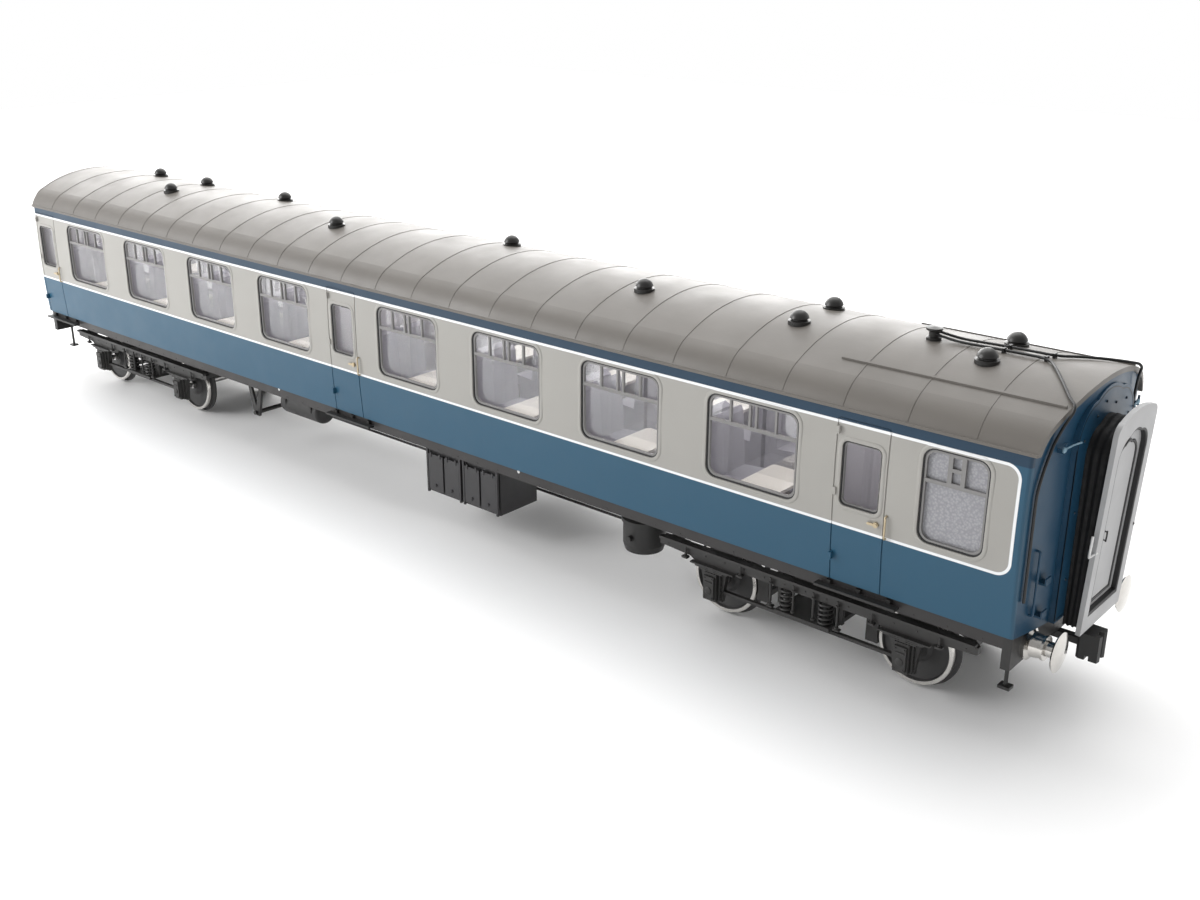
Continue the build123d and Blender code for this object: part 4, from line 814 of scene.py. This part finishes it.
def sideframe_fittings(fittings, lowest, highest):
    """Everything added to one side frame of a bogie."""
    centre_x = (lowest.x + highest.x) / 2
    hand = hand_of(lowest)
    outer = max(abs(lowest.y), abs(highest.y))
    for way in (1, -1):
        axlebox_fittings(fittings, centre_x + way * HALF_WHEELBASE, hand, outer)
        # Upright links beside the coil springs
        for dx in (10.4, 3.1):
            x = centre_x + way * dx
            fittings.tube([(x, LINK_Y * hand, 12.2), (x, LINK_Y * hand, 20.4)], 0.32)
            for z in (12.4, 18.6):
                fittings.lathe([(0.62, 0), (0.62, 0.5), (0.42, 0.62)], (x, LINK_Y * hand, z), (0, 0, 1), 6)
        fittings.block((centre_x + way * 9.4, 23.6 * hand, 11.7),
                       (centre_x + way * 11.4, 25.1 * hand, 12.3))
    # Rivets along the top flange
    for k in range(FLANGE_RIVETS):
        x = lowest.x + 3.0 + (highest.x - lowest.x - 6.0) * k / (FLANGE_RIVETS - 1)
        rivet = [(0.26, -0.05), (0.24, 0.1), (0.1, 0.2)]
        fittings.lathe(rivet, (x, FRAME_FACE * hand, 19.3), (0, hand, 0), 8)


for end, side in ENDS:
    coils = Maker()
    leaves = Maker()
    for lowest, highest in loose_parts(f"bogie_springs_{end}"):
        if highest.z - lowest.z > 4:
            coil_spring(coils, lowest, highest)
        else:
            leaf_spring(leaves, lowest, highest)
    spring = coils.piece(f"coil_springs_{end}", f"bogie_{end}", "bogie_black", 50)
    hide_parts(f"bogie_springs_{end}")
    leaves.piece(f"leaf_springs_{end}", f"bogie_{end}", "bogie_black", 30)

    fittings = Maker()
    for sideframe in loose_parts(f"bogie_sideframes_{end}"):
        sideframe_fittings(fittings, *sideframe)
    fittings.piece(f"bogie_fittings_{end}", f"bogie_{end}", "bogie_black", 35)


# -------------------------------------------------------------------------- underframe trim
def battery_box_doors(boxes, lowest, highest):
    """Doors of one battery box, with their hinges, catches and the corner posts."""
    hand = hand_of(lowest)
    face = outer_face(lowest, highest)
    span = (highest.x - lowest.x - 1.2) / BOX_DOORS
    for i in range(BOX_DOORS):
        x0 = lowest.x + 0.6 + i * span
        boxes.block((x0 + 0.35, face - 0.1 * hand, lowest.z + 1.1),
                    (x0 + span - 0.35, face + 0.32 * hand, highest.z - 2.6), 0.1)
        for dx in (1.7, span - 1.7):
            boxes.block((x0 + dx - 0.35, face, highest.z - 3.6),
                        (x0 + dx + 0.35, face + 0.55 * hand, highest.z - 1.9), 0.08)
        middle = x0 + span / 2
        boxes.lathe([(0.5, 0.2), (0.5, 0.5), (0.3, 0.62)], (middle, face, lowest.z + 3.1), (0, hand, 0), 12)
        boxes.block((middle - 0.18, face + 0.5 * hand, lowest.z + 2.5),
                    (middle + 0.18, face + 0.75 * hand, lowest.z + 3.7), 0.06)
    for x in (lowest.x + 0.5, highest.x - 0.5):
        boxes.block((x - 0.4, face - 0.4 * hand, lowest.z), (x + 0.4, face + 0.45 * hand, highest.z), 0.1)


box_doors = Maker()
for box in loose_parts("battery_boxes"):
    battery_box_doors(box_doors, *box)
box_doors.piece("battery_box_doors", "coach", "box_grey", 30)

marks = Maker()
rivets = Maker()
for lowest, highest in loose_parts("solebars"):
    outward = (0, hand_of(lowest), 0)
    face = outer_face(lowest, highest)
    for x in SOLEBAR_MARKS_X:
        marks.lathe([(0.5, -0.05), (0.5, 0.08), (0.4, 0.12)], (x, face, SOLEBAR_MARK_Z), outward, 16)
    for k in range(SOLEBAR_RIVETS):
        x = lowest.x + 5.0 + (highest.x - lowest.x - 10.0) * k / (SOLEBAR_RIVETS - 1)
        rivets.lathe([(0.22, -0.05), (0.2, 0.08), (0.08, 0.15)], (x, face, SOLEBAR_RIVET_Z), outward, 8)
marks.piece("solebar_marks", "coach", "hook_white")
rivets.piece("solebar_rivets", "coach", "solebar_brown")

# ------------------------------------------------------------ stage, light and camera, in metres
bpy.context.scene.view_settings.view_transform = "Standard"
FLOOR_HALF = 1.2
floor_mesh = bpy.data.meshes.new("floor")
floor_maker = bmesh.new()
bmesh.ops.create_grid(floor_maker, x_segments=8, y_segments=8, size=FLOOR_HALF)
floor_maker.to_mesh(floor_mesh)
floor_maker.free()
floor = bpy.data.objects.new("floor", floor_mesh)
bpy.context.scene.collection.objects.link(floor)
floor.data.materials.append(painted("floor_card", (0.96, 0.96, 0.96), 0.75, 1.2, 0.004, 0.004))

# The studio is white behind the coach and dimmer on the side it is seen from
STUDIO_BACK = (-0.66, 0.75, 0.0)
STUDIO_FADE = (("From Min", -0.7), ("From Max", 0.45), ("To Min", 0.42), ("To Max", 1.0))
world = bpy.data.worlds.new("studio")
bpy.context.scene.world = world
world.use_nodes = True
tree = world.node_tree
background = tree.nodes["Background"]
background.inputs["Color"].default_value = (1.0, 1.0, 1.0, 1.0)
direction = tree.nodes.new("ShaderNodeTexCoord")
facing = tree.nodes.new("ShaderNodeVectorMath")
facing.operation = "DOT_PRODUCT"
facing.inputs[1].default_value = STUDIO_BACK
fade = tree.nodes.new("ShaderNodeMapRange")
fade.interpolation_type = "SMOOTHSTEP"
for input_name, value in STUDIO_FADE:
    fade.inputs[input_name].default_value = value
tree.links.new(direction.outputs["Generated"], facing.inputs[0])
tree.links.new(facing.outputs["Value"], fade.inputs["Value"])
tree.links.new(fade.outputs[0], background.inputs["Strength"])


def softbox(name, place, target, size, power, colour):
    data = bpy.data.lights.new(name, "AREA")
    data.shape = "RECTANGLE"
    data.size, data.size_y = size
    data.energy = power
    data.color = colour
    lamp = bpy.data.objects.new(name, data)
    lamp.location = place
    aim = Vector(target) - Vector(place)
    lamp.rotation_mode = "QUATERNION"
    lamp.rotation_quaternion = aim.to_track_quat("-Z", "Y")
    bpy.context.scene.collection.objects.link(lamp)


softbox("overhead", (-0.35, 0.35, 1.15), (-0.10, 0.0, 0.08), (1.6, 0.9), 11.0, (1.0, 0.995, 0.985))
softbox("back_strip", (-1.25, 1.05, 0.55), (-0.05, 0.0, 0.08), (2.4, 0.9), 30.0, (1.0, 0.995, 0.985))
softbox("left_fill", (-0.62, -0.60, 0.40), (-0.17, 0.0, 0.05), (0.5, 0.4), 5.0, (1.0, 1.0, 1.0))
softbox("saloon_light", (0.0, 0.0, 0.0835), (0.0, 0.0, 0.03), (0.42, 0.03), 0.09, (1.0, 0.98, 0.99))

# Camera solved from the track gauge, with its height given above the rail
CAMERA_PLACE = (0.32762, -0.29828, 0.17988 + RAIL_TOP * MM)
CAMERA_TURN = Matrix((
    (0.7491, -0.2294, 0.6215),
    (0.6625, 0.2619, -0.7018),
    (-0.0018, 0.9375, 0.3481),
))
camera_data = bpy.data.cameras.new("camera")
camera_data.sensor_width = 36.0
camera_data.lens = 39.85
camera_data.shift_x = 0.0136
camera_data.shift_y = -0.0134
camera_data.clip_start = 0.01
camera_data.clip_end = 30.0
camera = bpy.data.objects.new("camera", camera_data)
camera.matrix_world = Matrix.Translation(CAMERA_PLACE) @ CAMERA_TURN.to_4x4()
bpy.context.scene.collection.objects.link(camera)
bpy.context.scene.camera = camera
